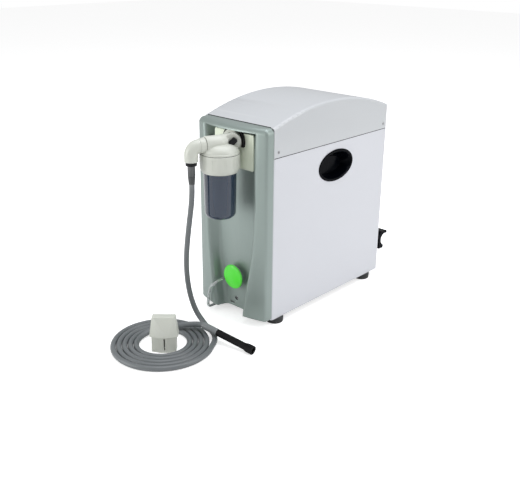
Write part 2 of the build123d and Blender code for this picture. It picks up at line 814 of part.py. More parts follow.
with BuildPart() as hose_nut:
    with BuildSketch(level(nut_low)):
        with Locations((elbow_x, front_y + elbow_y)):
            Circle(nut_radius)
            Circle(cuff_radius + bearing_gap, mode=Mode.SUBTRACT)
    extrude(amount=elbow_low - nut_low - bearing_gap)
    nut_rim = hose_nut.edges().filter_by(GeomType.CIRCLE).sort_by(SortBy.RADIUS)[-2:]
    chamfer(nut_rim, length=0.8)
    with BuildSketch(level(nut_low + 1.5)):
        with Locations((elbow_x, front_y + elbow_y)):
            with PolarLocations(nut_radius + 0.5, 18):
                Circle(1.1)
    extrude(amount=elbow_low - nut_low - 3, mode=Mode.SUBTRACT)
keep(hose_nut, "hose_nut")

with BuildPart() as hose_cuff:
    with BuildSketch(Plane.XZ.offset(-front_y - elbow_y)):
        with BuildLine():
            cuff_foot = case_z + cuff_low
            cuff_top = case_z + elbow_low - bearing_gap
            Polyline(
                (elbow_x + hose_bore, cuff_foot),
                (elbow_x + hose_radius + 0.4, cuff_foot),
                (elbow_x + cuff_radius, cuff_foot + cuff_taper),
                (elbow_x + cuff_radius, cuff_top),
                (elbow_x + hose_bore, cuff_top),
                (elbow_x + hose_bore, cuff_foot),
            )
        make_face()
    revolve(axis=Axis((elbow_x, front_y + elbow_y, 0), (0, 0, 1)))
keep(hose_cuff, "hose_cuff")

# Push button
with BuildPart() as power_button:
    with BuildSketch(Plane(origin=(0, 0, 0), x_dir=(0, 1, 0), z_dir=(1, 0, 0))):
        with BuildLine():
            face = front_y + button_front
            edge = face + button_dome
            back = edge + button_rim
            high = case_z + button_height
            ThreePointArc(
                (face, high), (face + 0.9, high + button_radius / 2), (edge, high + button_radius - 2)
            )
            ThreePointArc(
                (edge, high + button_radius - 2),
                (edge + 0.8, high + button_radius - 0.6),
                (edge + 2.4, high + button_radius),
            )
            Polyline(
                (edge + 2.4, high + button_radius),
                (back, high + button_radius - 1),
                (back, high + stem_radius),
                (front_y + 10, high + stem_radius),
                (front_y + 10, high),
                (face, high),
            )
        make_face()
    revolve(axis=Axis((0, 0, case_z + button_height), (0, 1, 0)))
keep(power_button, "power_button")

with BuildPart() as button_bezel:
    with BuildSketch(facing_front(0, -panel_wall, button_height)):
        Circle(bezel_radius)
        Circle(stem_radius + bearing_gap, mode=Mode.SUBTRACT)
    extrude(amount=-bezel_front - panel_wall)
    bezel_rim = button_bezel.edges().filter_by(GeomType.CIRCLE).sort_by(Axis.Y)[0:1]
    chamfer(bezel_rim, length=0.8)
keep(button_bezel, "button_bezel")

with BuildPart() as switch_body:
    with BuildSketch(facing_rear(0, 2 * sheet, button_height)):
        RectangleRounded(34, 34, 3)
    extrude(amount=30)
    with BuildSketch(facing_rear(0, 2 * sheet, button_height)):
        Circle(stem_radius + 1)
    extrude(amount=14, mode=Mode.SUBTRACT)
    with Locations(spot(-8, 2 * sheet + 33, button_height), spot(8, 2 * sheet + 33, button_height)):
        Box(1, 6, 6)
keep(switch_body, "switch_body")

# Clear drain tube from a barb beside the button, over the left ridge and under the edge
drain_points = [
    spot(drain_x, -10, drain_height),
    spot(drain_x, -38, drain_height),
    spot(-52.5, -42.5, 49),
    spot(-61.5, -40.5, 24),
    spot(drain_foot_x, -40.5, drain_low),
    spot(drain_foot_x, 0, drain_low),
]
with BuildPart() as drain_tube:
    with BuildLine() as drain_path:
        FilletPolyline(*drain_points, radius=(10, 20, 30, 11))
    with BuildSketch(facing_front(drain_x, -10, drain_height)):
        Circle(drain_radius)
        Circle(drain_bore, mode=Mode.SUBTRACT)
    sweep(path=drain_path.line)
keep(drain_tube, "drain_tube")

with BuildPart() as drain_barbs:
    with BuildSketch(facing_front(drain_x, sheet, drain_height)):
        Circle(barb_radius)
    extrude(amount=sheet + 10)
    with BuildSketch(facing_front(drain_foot_x, 12, drain_low)):
        Circle(barb_radius)
    extrude(amount=12)
    with BuildSketch(level(drain_low)):
        with Locations((drain_foot_x, front_y + 7.5)):
            Circle(barb_radius)
    extrude(amount=-drain_low)
keep(drain_barbs, "drain_barbs")

# Cord cleat on the rear
with BuildPart() as cord_cleat:
    cleat_mid = (cleat_low + cleat_high) / 2
    with BuildSketch(Plane(origin=(cleat_x - cleat_width / 2, 0, 0), x_dir=(0, 1, 0), z_dir=(1, 0, 0))):
        with BuildLine():
            inner = rear_y + cleat_standoff
            waist = inner + cleat_thick
            top_z = case_z + cleat_high
            low_z = case_z + cleat_low
            mid_z = case_z + cleat_mid
            Polyline((inner, low_z + 4), (inner, top_z - 8))
            ThreePointArc((inner, top_z - 8), (inner + 5, top_z - 1.5), (inner + 16, top_z))
            Line((inner + 16, top_z), (rear_y + cleat_reach - 4, top_z))
            ThreePointArc(
                (rear_y + cleat_reach - 4, top_z),
                (rear_y + cleat_reach, top_z - 4),
                (rear_y + cleat_reach - 4, top_z - 8),
            )
            ThreePointArc(
                (rear_y + cleat_reach - 4, top_z - 8), (waist, mid_z + 2), (waist + 9, low_z + 10)
            )
            ThreePointArc((waist + 9, low_z + 10), (waist + 12, low_z + 4), (waist + 6, low_z))
            Line((waist + 6, low_z), (inner + 4, low_z))
            ThreePointArc((inner + 4, low_z), (inner + 1.2, low_z + 1.2), (inner, low_z + 4))
        make_face()
    extrude(amount=cleat_width)
    with BuildSketch(facing_rear(cleat_x, case_depth - sheet, cleat_mid)):
        RectangleRounded(18, 34, 3)
    extrude(amount=cleat_standoff + sheet)
    with BuildSketch(facing_rear(cleat_x, case_depth - sheet, cleat_mid)):
        with GridLocations(1, 24, 1, 2):
            Circle(screw_radius + slip)
    extrude(amount=12, mode=Mode.SUBTRACT)
keep(cord_cleat, "cord_cleat")

with BuildPart() as cleat_screws:
    with BuildSketch(facing_rear(cleat_x, case_depth - 2 * sheet - 3, cleat_mid)):
        with GridLocations(1, 24, 1, 2):
            Circle(screw_radius)
    extrude(amount=sheet + 11)
    with BuildSketch(facing_rear(cleat_x, case_depth - 2 * sheet - 3, cleat_mid)):
        with GridLocations(1, 24, 1, 2):
            Circle(screw_head)
    extrude(amount=3)
keep(cleat_screws, "cleat_screws")

# Mains inlet and outlet spigot
with BuildPart() as mains_inlet:
    with BuildSketch(facing_rear(-inlet_x, case_depth - sheet, inlet_height)):
        RectangleRounded(50, 28, 4)
    extrude(amount=2.5)
    with BuildSketch(facing_rear(-inlet_x, case_depth - sheet, inlet_height)):
        RectangleRounded(inlet_width, 20.8, 2)
    extrude(amount=-20)
    with BuildSketch(facing_rear(-inlet_x, case_depth - sheet + 2.5, inlet_height)):
        RectangleRounded(24, 17, 2)
    extrude(amount=-18, mode=Mode.SUBTRACT)
    with BuildSketch(facing_rear(-inlet_x, case_depth - sheet + 2.5 - 18, inlet_height)):
        with Locations((-7, -1), (0, 3), (7, -1)):
            Rectangle(2, 4)
    extrude(amount=13)
keep(mains_inlet, "mains_inlet")

with BuildPart() as outlet_spigot:
    with BuildSketch(facing_rear(0, case_depth - sheet, outlet_height)):
        Circle(outlet_radius + 8)
        Circle(outlet_bore, mode=Mode.SUBTRACT)
    extrude(amount=2.5)
    with BuildSketch(facing_rear(0, case_depth - sheet, outlet_height)):
        Circle(outlet_radius)
        Circle(outlet_bore, mode=Mode.SUBTRACT)
    extrude(amount=outlet_reach + sheet)
    tip = outlet_spigot.edges().filter_by(GeomType.CIRCLE).group_by(Axis.Y)[-1]
    chamfer(tip, length=0.8)
    with BuildSketch(facing_rear(0, case_depth - sheet, outlet_height)):
        Circle(outlet_radius)
        Circle(outlet_bore, mode=Mode.SUBTRACT)
    extrude(amount=-8)
keep(outlet_spigot, "outlet_spigot")

# Vacuum motor on its dampers
damper_places = [
    (x * damper_spread, motor_row_y + y * damper_spread)
    for x in (-1, 1)
    for y in (-1, 1)
]
with BuildPart() as motor_dampers:
    with BuildSketch(level(sheet)):
        with Locations(*damper_places):
            Circle(damper_radius)
    extrude(amount=damper_height)
    with BuildSketch(level(sheet + 6)):
        with Locations(*damper_places):
            Circle(damper_radius)
            Circle(damper_radius - 3, mode=Mode.SUBTRACT)
    extrude(amount=damper_height - 12, mode=Mode.SUBTRACT)
keep(motor_dampers, "motor_dampers")

with BuildPart() as intake_plenum:
    with Locations((0, motor_row_y, plenum_z + plenum_height / 2)):
        Box(plenum_size, plenum_size, plenum_height)
        fillet(intake_plenum.edges().filter_by(Axis.Z), radius=10)
    with Locations((0, motor_row_y, plenum_z + plenum_height / 2)):
        Box(plenum_size - 6, plenum_size - 6, plenum_height - 6, mode=Mode.SUBTRACT)
    with BuildSketch(Plane.XY.offset(blower_z)):
        with Locations((0, motor_row_y)):
            Circle(22)
    extrude(amount=-3, mode=Mode.SUBTRACT)
    plenum_front = Plane(
        origin=(strainer_x, motor_row_y - plenum_size / 2, plenum_z + plenum_height / 2),
        x_dir=(1, 0, 0),
        z_dir=(0, -1, 0),
    )
    with BuildSketch(plenum_front):
        Circle(duct_radius)
    extrude(amount=16)
    with BuildSketch(plenum_front.offset(16)):
        Circle(duct_radius - duct_wall)
    extrude(amount=-20, mode=Mode.SUBTRACT)
keep(intake_plenum, "intake_plenum")

with BuildPart() as blower_housing:
    with BuildSketch(Plane.XY.offset(blower_z)):
        with Locations((0, motor_row_y)):
            Circle(blower_radius)
    extrude(amount=blower_height)
    with BuildSketch(Plane.XY.offset(blower_z + 2)):
        with Locations((0, motor_row_y)):
            Circle(blower_radius - 2)
    extrude(amount=blower_height - 4, mode=Mode.SUBTRACT)
    with BuildSketch(Plane.XY.offset(blower_z)):
        with Locations((0, motor_row_y)):
            Circle(20)
    extrude(amount=2, mode=Mode.SUBTRACT)
    with BuildSketch(Plane.XY.offset(motor_z)):
        with Locations((0, motor_row_y)):
            Circle(shaft_radius + 3)
    extrude(amount=-2, mode=Mode.SUBTRACT)
    horn = Plane(
        origin=(0, motor_row_y + blower_radius - 1, blower_z + blower_height / 2),
        x_dir=(-1, 0, 0),
        z_dir=(0, 1, 0),
    )
    with BuildSketch(horn):
        Circle(duct_radius + duct_wall)
    extrude(amount=19)
    with BuildSketch(horn.offset(19)):
        Circle(duct_radius)
    extrude(amount=-24, mode=Mode.SUBTRACT)
keep(blower_housing, "blower_housing")

with BuildPart() as impeller:
    for lift in (6, 28):
        with BuildSketch(Plane.XY.offset(blower_z + lift)):
            with Locations((0, motor_row_y)):
                Circle(blower_radius - 8)
                Circle(shaft_radius, mode=Mode.SUBTRACT)
        extrude(amount=1.5)
        with BuildSketch(Plane.XY.offset(blower_z + lift + 1.5)):
            with Locations((0, motor_row_y)):
                Circle(shaft_radius + 4)
                Circle(shaft_radius, mode=Mode.SUBTRACT)
                with PolarLocations((blower_radius - 8 + shaft_radius + 8) / 2, 9):
                    Rectangle(blower_radius - 22, 1.6, rotation=35)
        extrude(amount=12)
keep(impeller, "impeller")

with BuildPart() as motor_frame:
    with BuildSketch(Plane.XY.offset(motor_z)):
        with Locations((0, motor_row_y)):
            Circle(motor_radius)
    extrude(amount=motor_height)
    with BuildSketch(Plane.XY.offset(motor_z + 3)):
        with Locations((0, motor_row_y)):
            Circle(motor_radius - 3)
    extrude(amount=motor_height - 6, mode=Mode.SUBTRACT)
    with BuildSketch(Plane.XY.offset(motor_z)):
        with Locations((0, motor_row_y)):
            Circle(shaft_radius + bearing_gap)
    extrude(amount=motor_height, mode=Mode.SUBTRACT)
    with BuildSketch(Plane.XY.offset(motor_z + 20)):
        with Locations((0, motor_row_y)):
            with PolarLocations(motor_radius, 6, start_angle=30):
                Rectangle(12, 16)
    extrude(amount=motor_height - 40, mode=Mode.SUBTRACT)
    with BuildSketch(Plane.XY.offset(motor_z + motor_height - 3)):
        with Locations((0, motor_row_y)):
            with PolarLocations(26, 6):
                Circle(8)
    extrude(amount=3, mode=Mode.SUBTRACT)
keep(motor_frame, "motor_frame")

with BuildPart() as field_core:
    with BuildSketch(Plane.XY.offset(motor_z + 24)):
        with Locations((0, motor_row_y)):
            Circle(motor_radius - 3)
            Circle(28, mode=Mode.SUBTRACT)
            with PolarLocations(motor_radius - 8, 2, start_angle=90):
                Rectangle(7, 20, mode=Mode.SUBTRACT)
    extrude(amount=motor_height - 50)
keep(field_core, "field_core")

with BuildPart() as armature:
    with BuildSketch(Plane.XY.offset(blower_z + 4)):
        with Locations((0, motor_row_y)):
            Circle(shaft_radius)
    extrude(amount=blower_height + motor_height + 16)
    with BuildSketch(Plane.XY.offset(motor_z + 22)):
        with Locations((0, motor_row_y)):
            Circle(26)
            with PolarLocations(26, 12):
                Rectangle(6, 3, mode=Mode.SUBTRACT)
    extrude(amount=motor_height - 46)
    with BuildSketch(Plane.XY.offset(motor_z + motor_height - 20)):
        with Locations((0, motor_row_y)):
            Circle(13)
    extrude(amount=14)
keep(armature, "armature")

with BuildPart() as cooling_fan:
    fan_z = motor_z + motor_height + 3
    with BuildSketch(Plane.XY.offset(fan_z)):
        with Locations((0, motor_row_y)):
            Circle(motor_radius - 4)
            Circle(shaft_radius, mode=Mode.SUBTRACT)
    extrude(amount=1.5)
    with BuildSketch(Plane.XY.offset(fan_z)):
        with Locations((0, motor_row_y)):
            Circle(shaft_radius + 5)
            Circle(shaft_radius, mode=Mode.SUBTRACT)
            with PolarLocations(motor_radius / 2 + 4, 8):
                Rectangle(motor_radius - 20, 1.6, rotation=20)
    extrude(amount=9)
keep(cooling_fan, "cooling_fan")

with BuildPart() as silencer_box:
    silencer_front = motor_row_y + blower_radius + 18
    silencer_depth = rear_y - sheet - 8 - silencer_front
    silencer_low = blower_z + blower_height / 2 - 36
    silencer_place = (0, silencer_front + silencer_depth / 2, silencer_low + silencer_height / 2)
    with Locations(silencer_place):
        Box(silencer_width, silencer_depth, silencer_height)
        fillet(silencer_box.edges().filter_by(Axis.Y), radius=8)
    with Locations(silencer_place):
        Box(silencer_width - 6, silencer_depth - 6, silencer_height - 6, mode=Mode.SUBTRACT)
    with BuildSketch(horn.offset(19)):
        Circle(duct_radius)
    extrude(amount=4, mode=Mode.SUBTRACT)
    with BuildSketch(facing_rear(0, case_depth - sheet - 8, outlet_height)):
        Circle(outlet_bore)
    extrude(amount=-4, mode=Mode.SUBTRACT)
keep(silencer_box, "silencer_box")

with BuildPart() as suction_duct:
    with BuildLine() as duct_path:
        FilletPolyline(
            spot(strainer_x, 2 * sheet + 18, strainer_height),
            spot(strainer_x, 2 * sheet + 60, strainer_height),
            (strainer_x, front_y + 2 * sheet + 60, plenum_z + plenum_height / 2),
            (strainer_x, motor_row_y - plenum_size / 2 - 16, plenum_z + plenum_height / 2),
            radius=duct_bend,
        )
    with BuildSketch(facing_rear(strainer_x, 2 * sheet + 18, strainer_height)):
        Circle(duct_radius)
        Circle(duct_radius - duct_wall, mode=Mode.SUBTRACT)
    sweep(path=duct_path.line)
keep(suction_duct, "suction_duct")

with BuildPart() as relay_box:
    with Locations(spot(-relay_x, relay_depth, sheet + 30)):
        Box(44, 70, 60)
        fillet(relay_box.edges().filter_by(Axis.Z), radius=4)
    with Locations(spot(-relay_x, relay_depth, sheet + 62)):
        with GridLocations(1, 16, 1, 3):
            Cylinder(4, 4)
keep(relay_box, "relay_box")


# Hose: the hanging run, the coil on the floor and the tail to the handpiece
def arc_radii(points):
    """The largest even arc at each corner: an inner run is shared by two arcs, an end run serves one."""
    runs = [(after - before).length for before, after in zip(points, points[1:])]
    room = [0.9 * runs[0]] + [0.45 * run for run in runs[1:-1]] + [0.9 * runs[-1]]
    radii = []
    for index, (before, here, after) in enumerate(zip(points, points[1:], points[2:])):
        turn = (here - before).get_angle(after - here)
        radii.append(min(room[index], room[index + 1]) / tan(radians(turn) / 2))
    return radii


def swept_tube(points, radius, label):
    """A solid tube of straight runs and tangent arcs along a route, with its figures printed."""
    radii = arc_radii(points)
    with BuildPart() as tube:
        with BuildLine() as route:
            FilletPolyline(*points, radius=radii)
        with BuildSketch(Plane(origin=points[0], z_dir=points[1] - points[0])):
            Circle(radius)
        sweep(path=route.wire())
    length = route.wire().length
    ratio = tube.part.volume / (pi * radius**2 * length)
    print(label, "length", round(length, 1), "volume ratio", round(ratio, 4))
    print(label, "radii", [round(value) for value in radii])
    keep(tube, label)
    return length


floor_line = hose_radius - foot_height
coil_heading = radians(coil_start)
coil_out = Vector(cos(coil_heading), sin(coil_heading), 0)
coil_centres = (
    spot(coil_x, coil_y, floor_line),
    spot(coil_x, coil_y, floor_line) - coil_out * (coil_pitch / 2),
)
coil_entry = coil_centres[0] + coil_out * coil_outer
coil_tangent = Vector(sin(coil_heading), -cos(coil_heading), 0)
coil_inner = coil_outer - (coil_half_turns - 1) * coil_pitch / 2

drop_points = [
    spot(elbow_x, elbow_y, cuff_low),
    spot(elbow_x, elbow_y, cuff_low - 26),
    spot(-21.3, -126.0, 270),
    spot(-26.4, -128.4, 231),
    spot(-32.7, -129.2, 190),
    spot(-38.8, -127.8, 150),
    spot(-43.4, -123.4, 110),
    spot(-45.3, -117.0, 72),
    spot(-41.7, -110.8, 38),
    spot(-32.7, -106.7, 14),
    spot(-17.3, -104.8, -1.8),
    spot(3.1, -108.2, floor_line),
    spot(24.3, -114.5, floor_line),
    spot(46.5, -125.0, floor_line),
    coil_entry - coil_tangent * 36,
    coil_entry - coil_tangent * coil_lead,
]
hose_length = swept_tube(drop_points, hose_radius, "hose_drop")

coil_steps = [
    (coil_centres[turn % 2], coil_outer - turn * coil_pitch / 2, 1 if turn % 2 == 0 else -1)
    for turn in range(coil_half_turns)
]
coil_exit = coil_centres[0] - coil_out * coil_inner
tail_start = coil_exit - coil_tangent * coil_exit_lead
with BuildPart() as hose_coil:
    with BuildLine() as coil_path:
        Line(coil_entry - coil_tangent * coil_lead, coil_entry)
        for centre, radius, way in coil_steps:
            side_point = centre + coil_tangent * (radius * way)
            ThreePointArc(centre + coil_out * (radius * way), side_point, centre - coil_out * (radius * way))
        Line(coil_exit, tail_start)
    with BuildSketch(Plane(origin=coil_entry - coil_tangent * coil_lead, z_dir=coil_tangent)):
        Circle(hose_radius)
    sweep(path=coil_path.line)
coil_route = coil_path.wire()
coil_line = [coil_route.position_at(step / 800) for step in range(801)]
coil_gap = min(
    (here - there).length
    for index, here in enumerate(coil_line)
    for there in coil_line[index + 40 :]
)
coil_length = coil_lead + coil_exit_lead + sum(pi * radius for _, radius, _ in coil_steps)
print("coil length", round(coil_length, 1), "least gap", round(coil_gap - 2 * hose_radius, 2))
print("coil volume ratio", round(hose_coil.part.volume / (pi * hose_radius**2 * coil_length), 4))
keep(hose_coil, "hose_coil")

# Handpiece: the tip collar rests on the floor and the other end on the coil
collar_radius = 10.0
collar_length = 22.0
grip_radius = 7.8
sleeve_radius = 8.0
handpiece_start = spot(63.5, -132.0, 5.6)
tip_xy = (161.5, front_y - 121.0)
plan_run = hypot(tip_xy[0] - handpiece_start.X, tip_xy[1] - handpiece_start.Y)
tilt = atan2(handpiece_start.Z - collar_radius, plan_run)
tip_point = Vector(tip_xy[0], tip_xy[1], collar_radius * cos(tilt))
hand_way = (tip_point - handpiece_start).normalized()
hand_length = (tip_point - handpiece_start).length
hand_plane = Plane(origin=handpiece_start, z_dir=hand_way)
sleeve_start = handpiece_start - hand_way * 41

tail_points = [
    tail_start,
    spot(-65.1, -248.8, -9.6),
    spot(-67.9, -233.0, -8.0),
    spot(-65.1, -217.3, -5.0),
    spot(-57.6, -203.1, -1.0),
    sleeve_start - hand_way * 15.8,
    sleeve_start,
]
hose_length += coil_length + swept_tube(tail_points, hose_radius, "hose_tail")
print("hose length", round(hose_length, 1))

with BuildPart() as handpiece_sleeve:
    with BuildSketch(Plane(origin=sleeve_start, z_dir=hand_way)):
        Circle(sleeve_radius)
        Circle(hose_bore, mode=Mode.SUBTRACT)
    extrude(amount=(handpiece_start - sleeve_start).length)
    for end in handpiece_sleeve.faces().filter_by(Plane(origin=sleeve_start, z_dir=hand_way)):
        chamfer(end.outer_wire().edges(), length=0.8)
keep(handpiece_sleeve, "handpiece_sleeve")

with BuildPart() as handpiece:
    with BuildSketch(hand_plane):
        Circle(grip_radius)
        Circle(hose_bore, mode=Mode.SUBTRACT)
    extrude(amount=hand_length - collar_length - 0.2)
    with BuildSketch(hand_plane.offset(hand_length - collar_length - 0.2)):
        Circle(grip_radius - 1.5)
        Circle(hose_bore, mode=Mode.SUBTRACT)
    extrude(amount=collar_length - 4)
keep(handpiece, "handpiece")

with BuildPart() as tip_collar:
    with BuildSketch(hand_plane.offset(hand_length - collar_length)):
        Circle(grip_radius + 0.4)
        Circle(grip_radius - 1.5 + bearing_gap, mode=Mode.SUBTRACT)
    with BuildSketch(hand_plane.offset(hand_length - collar_length + 8)):
        Circle(collar_radius)
        Circle(grip_radius - 1.5 + bearing_gap, mode=Mode.SUBTRACT)
    loft()
    with BuildSketch(hand_plane.offset(hand_length - collar_length + 8)):
        Circle(collar_radius)
        Circle(grip_radius - 1.5 + bearing_gap, mode=Mode.SUBTRACT)
    extrude(amount=collar_length - 8)
keep(tip_collar, "tip_collar")

# Hose holder: a hollow moulding that stands in the coil, open below, slit in front
holder_turn = 42.65
holder_width = 53.0
holder_head = 62.0
holder_top = 50.0
holder_depth = 30.0
holder_height = 80.0
holder_step = 36.0
holder_wall = 6.0
holder_cavity_depth = 14.0
holder_slit = 3.0
holder_plane = Plane(
    origin=(6.5, front_y - 238.0, 0),
    x_dir=(cos(radians(holder_turn)), sin(radians(holder_turn)), 0),
    z_dir=(0, 0, 1),
)


def holder_slice(width, front, rear, nose, cheek):
    """Corner points of one level slice: a flat back, two sides and a nose between two cheeks."""
    half = width / 2
    back = [(-half, rear), (half, rear)]
    return back + [(half, front + cheek), (nose, front), (-nose, front), (-half, front + cheek)]


with BuildPart() as hose_holder:
    with BuildSketch(holder_plane):
        Polygon(*holder_slice(holder_width, -holder_depth / 2, holder_depth / 2, 8, 6), align=None)
    extrude(amount=holder_step)
    with BuildSketch(holder_plane.offset(holder_step)):
        Polygon(*holder_slice(holder_head, -holder_depth / 2 - 1, holder_depth / 2 + 1, 11, 8), align=None)
    with BuildSketch(holder_plane.offset(holder_height)):
        Polygon(*holder_slice(holder_top, -3, holder_depth / 2 - 0.5, 22, 2), align=None)
    loft()
    fillet(hose_holder.edges().group_by(Axis.Z)[-1], radius=2)
    with BuildSketch(holder_plane):
        with Locations((0, 3)):
            RectangleRounded(holder_width - 2 * holder_wall, holder_cavity_depth, 3)
    extrude(amount=holder_height - holder_cavity_depth, mode=Mode.SUBTRACT)
    slit_plane = Plane(
        origin=holder_plane.from_local_coords((2, -holder_depth / 2, 20)),
        x_dir=holder_plane.x_dir,
        z_dir=-holder_plane.y_dir,
    )
    with BuildSketch(slit_plane):
        SlotOverall(28, holder_slit, rotation=90)
    extrude(amount=-13, mode=Mode.SUBTRACT)
keep(hose_holder, "hose_holder")
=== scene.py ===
"""Looks of the surgical suction unit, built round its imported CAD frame.

Everything is in metres in the row's frame: +Z up, the front faces -Y, the floor is at zero.
"""

from __future__ import annotations

import json
import logging
import math
from dataclasses import dataclass, field
from enum import Enum
from functools import cache
from typing import Sequence

import bmesh
import bpy
from mathutils import Matrix, Vector

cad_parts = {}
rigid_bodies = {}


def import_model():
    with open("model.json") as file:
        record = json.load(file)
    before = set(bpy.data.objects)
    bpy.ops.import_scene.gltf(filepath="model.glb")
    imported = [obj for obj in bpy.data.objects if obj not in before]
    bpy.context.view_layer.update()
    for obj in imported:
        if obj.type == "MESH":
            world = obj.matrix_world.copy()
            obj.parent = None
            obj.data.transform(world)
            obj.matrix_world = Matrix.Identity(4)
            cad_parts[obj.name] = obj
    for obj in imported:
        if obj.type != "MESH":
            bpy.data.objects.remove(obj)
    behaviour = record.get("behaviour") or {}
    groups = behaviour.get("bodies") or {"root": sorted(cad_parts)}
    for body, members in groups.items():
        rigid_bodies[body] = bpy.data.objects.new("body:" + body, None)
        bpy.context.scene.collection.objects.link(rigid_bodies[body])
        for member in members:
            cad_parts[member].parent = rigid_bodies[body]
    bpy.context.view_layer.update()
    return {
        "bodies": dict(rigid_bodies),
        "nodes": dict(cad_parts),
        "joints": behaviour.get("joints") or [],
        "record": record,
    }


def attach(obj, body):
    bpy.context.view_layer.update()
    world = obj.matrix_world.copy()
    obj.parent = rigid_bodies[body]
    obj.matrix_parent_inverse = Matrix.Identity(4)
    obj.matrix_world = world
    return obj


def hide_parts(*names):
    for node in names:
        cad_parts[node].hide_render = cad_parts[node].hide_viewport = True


LOG = logging.getLogger("suction_unit")
MM = 0.001
UP = Vector((0, 0, 1))
BUMP_DEPTH = 0.1 * MM
MERGE_REACH = 0.002 * MM
FLAT_TURN = 0.4
SHARP_TURN = 32.0

# Sizes shared with the CAD source, in millimetres and degrees
FRONT_Y = -168.67090828
CASE_Z = 16.0
STRAINER = (7.5, -64.0, 412.0)
PORT_WAY = (-0.3697468, -0.9291326)
ELBOW_REACH = 65.5
CUFF_LOW = 330.0
HOSE_RADIUS = 6.0
FLOOR_LINE = HOSE_RADIUS - CASE_Z
COIL_CENTRE = (-9.8, -228.4)
COIL_OUTER = 108.5
COIL_PITCH = 12.6
COIL_HALF_TURNS = 9
COIL_LEAD = 12.0
COIL_EXIT_LEAD = 2.0
COIL_START = 30.0
BUTTON_HEIGHT = 85.0
HALF_WIDTH = 105.5
CASE_DEPTH = 424.0
CASE_HEIGHT = 450.0
SEAM_HEIGHT = 383.0
RING_HIGH = 392.5
TUBE = 19.3


def spot(x: float, y: float, height: float) -> Vector:
    """Place a point as the CAD source does.

    Args:
        x: Distance across the case, in millimetres.
        y: Distance behind the case front, in millimetres.
        height: Distance above the case's lower edge, in millimetres.

    Returns:
        The point in the row's frame, in metres.
    """
    return Vector((x, FRONT_Y + y, CASE_Z + height)) * MM


ELBOW_X = STRAINER[0] + ELBOW_REACH * PORT_WAY[0]
ELBOW_Y = STRAINER[1] + ELBOW_REACH * PORT_WAY[1]


class Body(Enum):
    """The rigid bodies of the frame that pieces made here ride on."""

    CASE = "case"
    BUTTON = "button"
    BOWL = "bowl_unit"


def srgb(red: float, green: float, blue: float) -> tuple[float, float, float, float]:
    """Turn display values from 0 to 255 into a linear colour.

    Args:
        red: Red as displayed.
        green: Green as displayed.
        blue: Blue as displayed.

    Returns:
        The linear colour with full alpha.
    """

    def linear(value: float) -> float:
        """Undo the display curve for one channel."""
        share = value / 255
        return share / 12.92 if share <= 0.04045 else ((share + 0.055) / 1.055) ** 2.4

    return (linear(red), linear(green), linear(blue), 1.0)


# --------------------------------------------------------------------------- shader groups


def add_node(
    tree: bpy.types.NodeTree, kind: str, inputs: dict[str | int, object], operation: str = ""
) -> bpy.types.Node:
    """Add a node to a tree and set or feed its inputs.

    Args:
        tree: The tree.
        kind: The node's type.
        inputs: Socket name or index to its value, or to the output that feeds it.
        operation: What a math node works out.

    Returns:
        The node.
    """
    node = tree.nodes.new(kind)
    if operation:
        node.operation = operation
    for socket, given in inputs.items():
        if isinstance(given, bpy.types.NodeSocket):
            tree.links.new(given, node.inputs[socket])
        else:
            node.inputs[socket].default_value = given
    return node


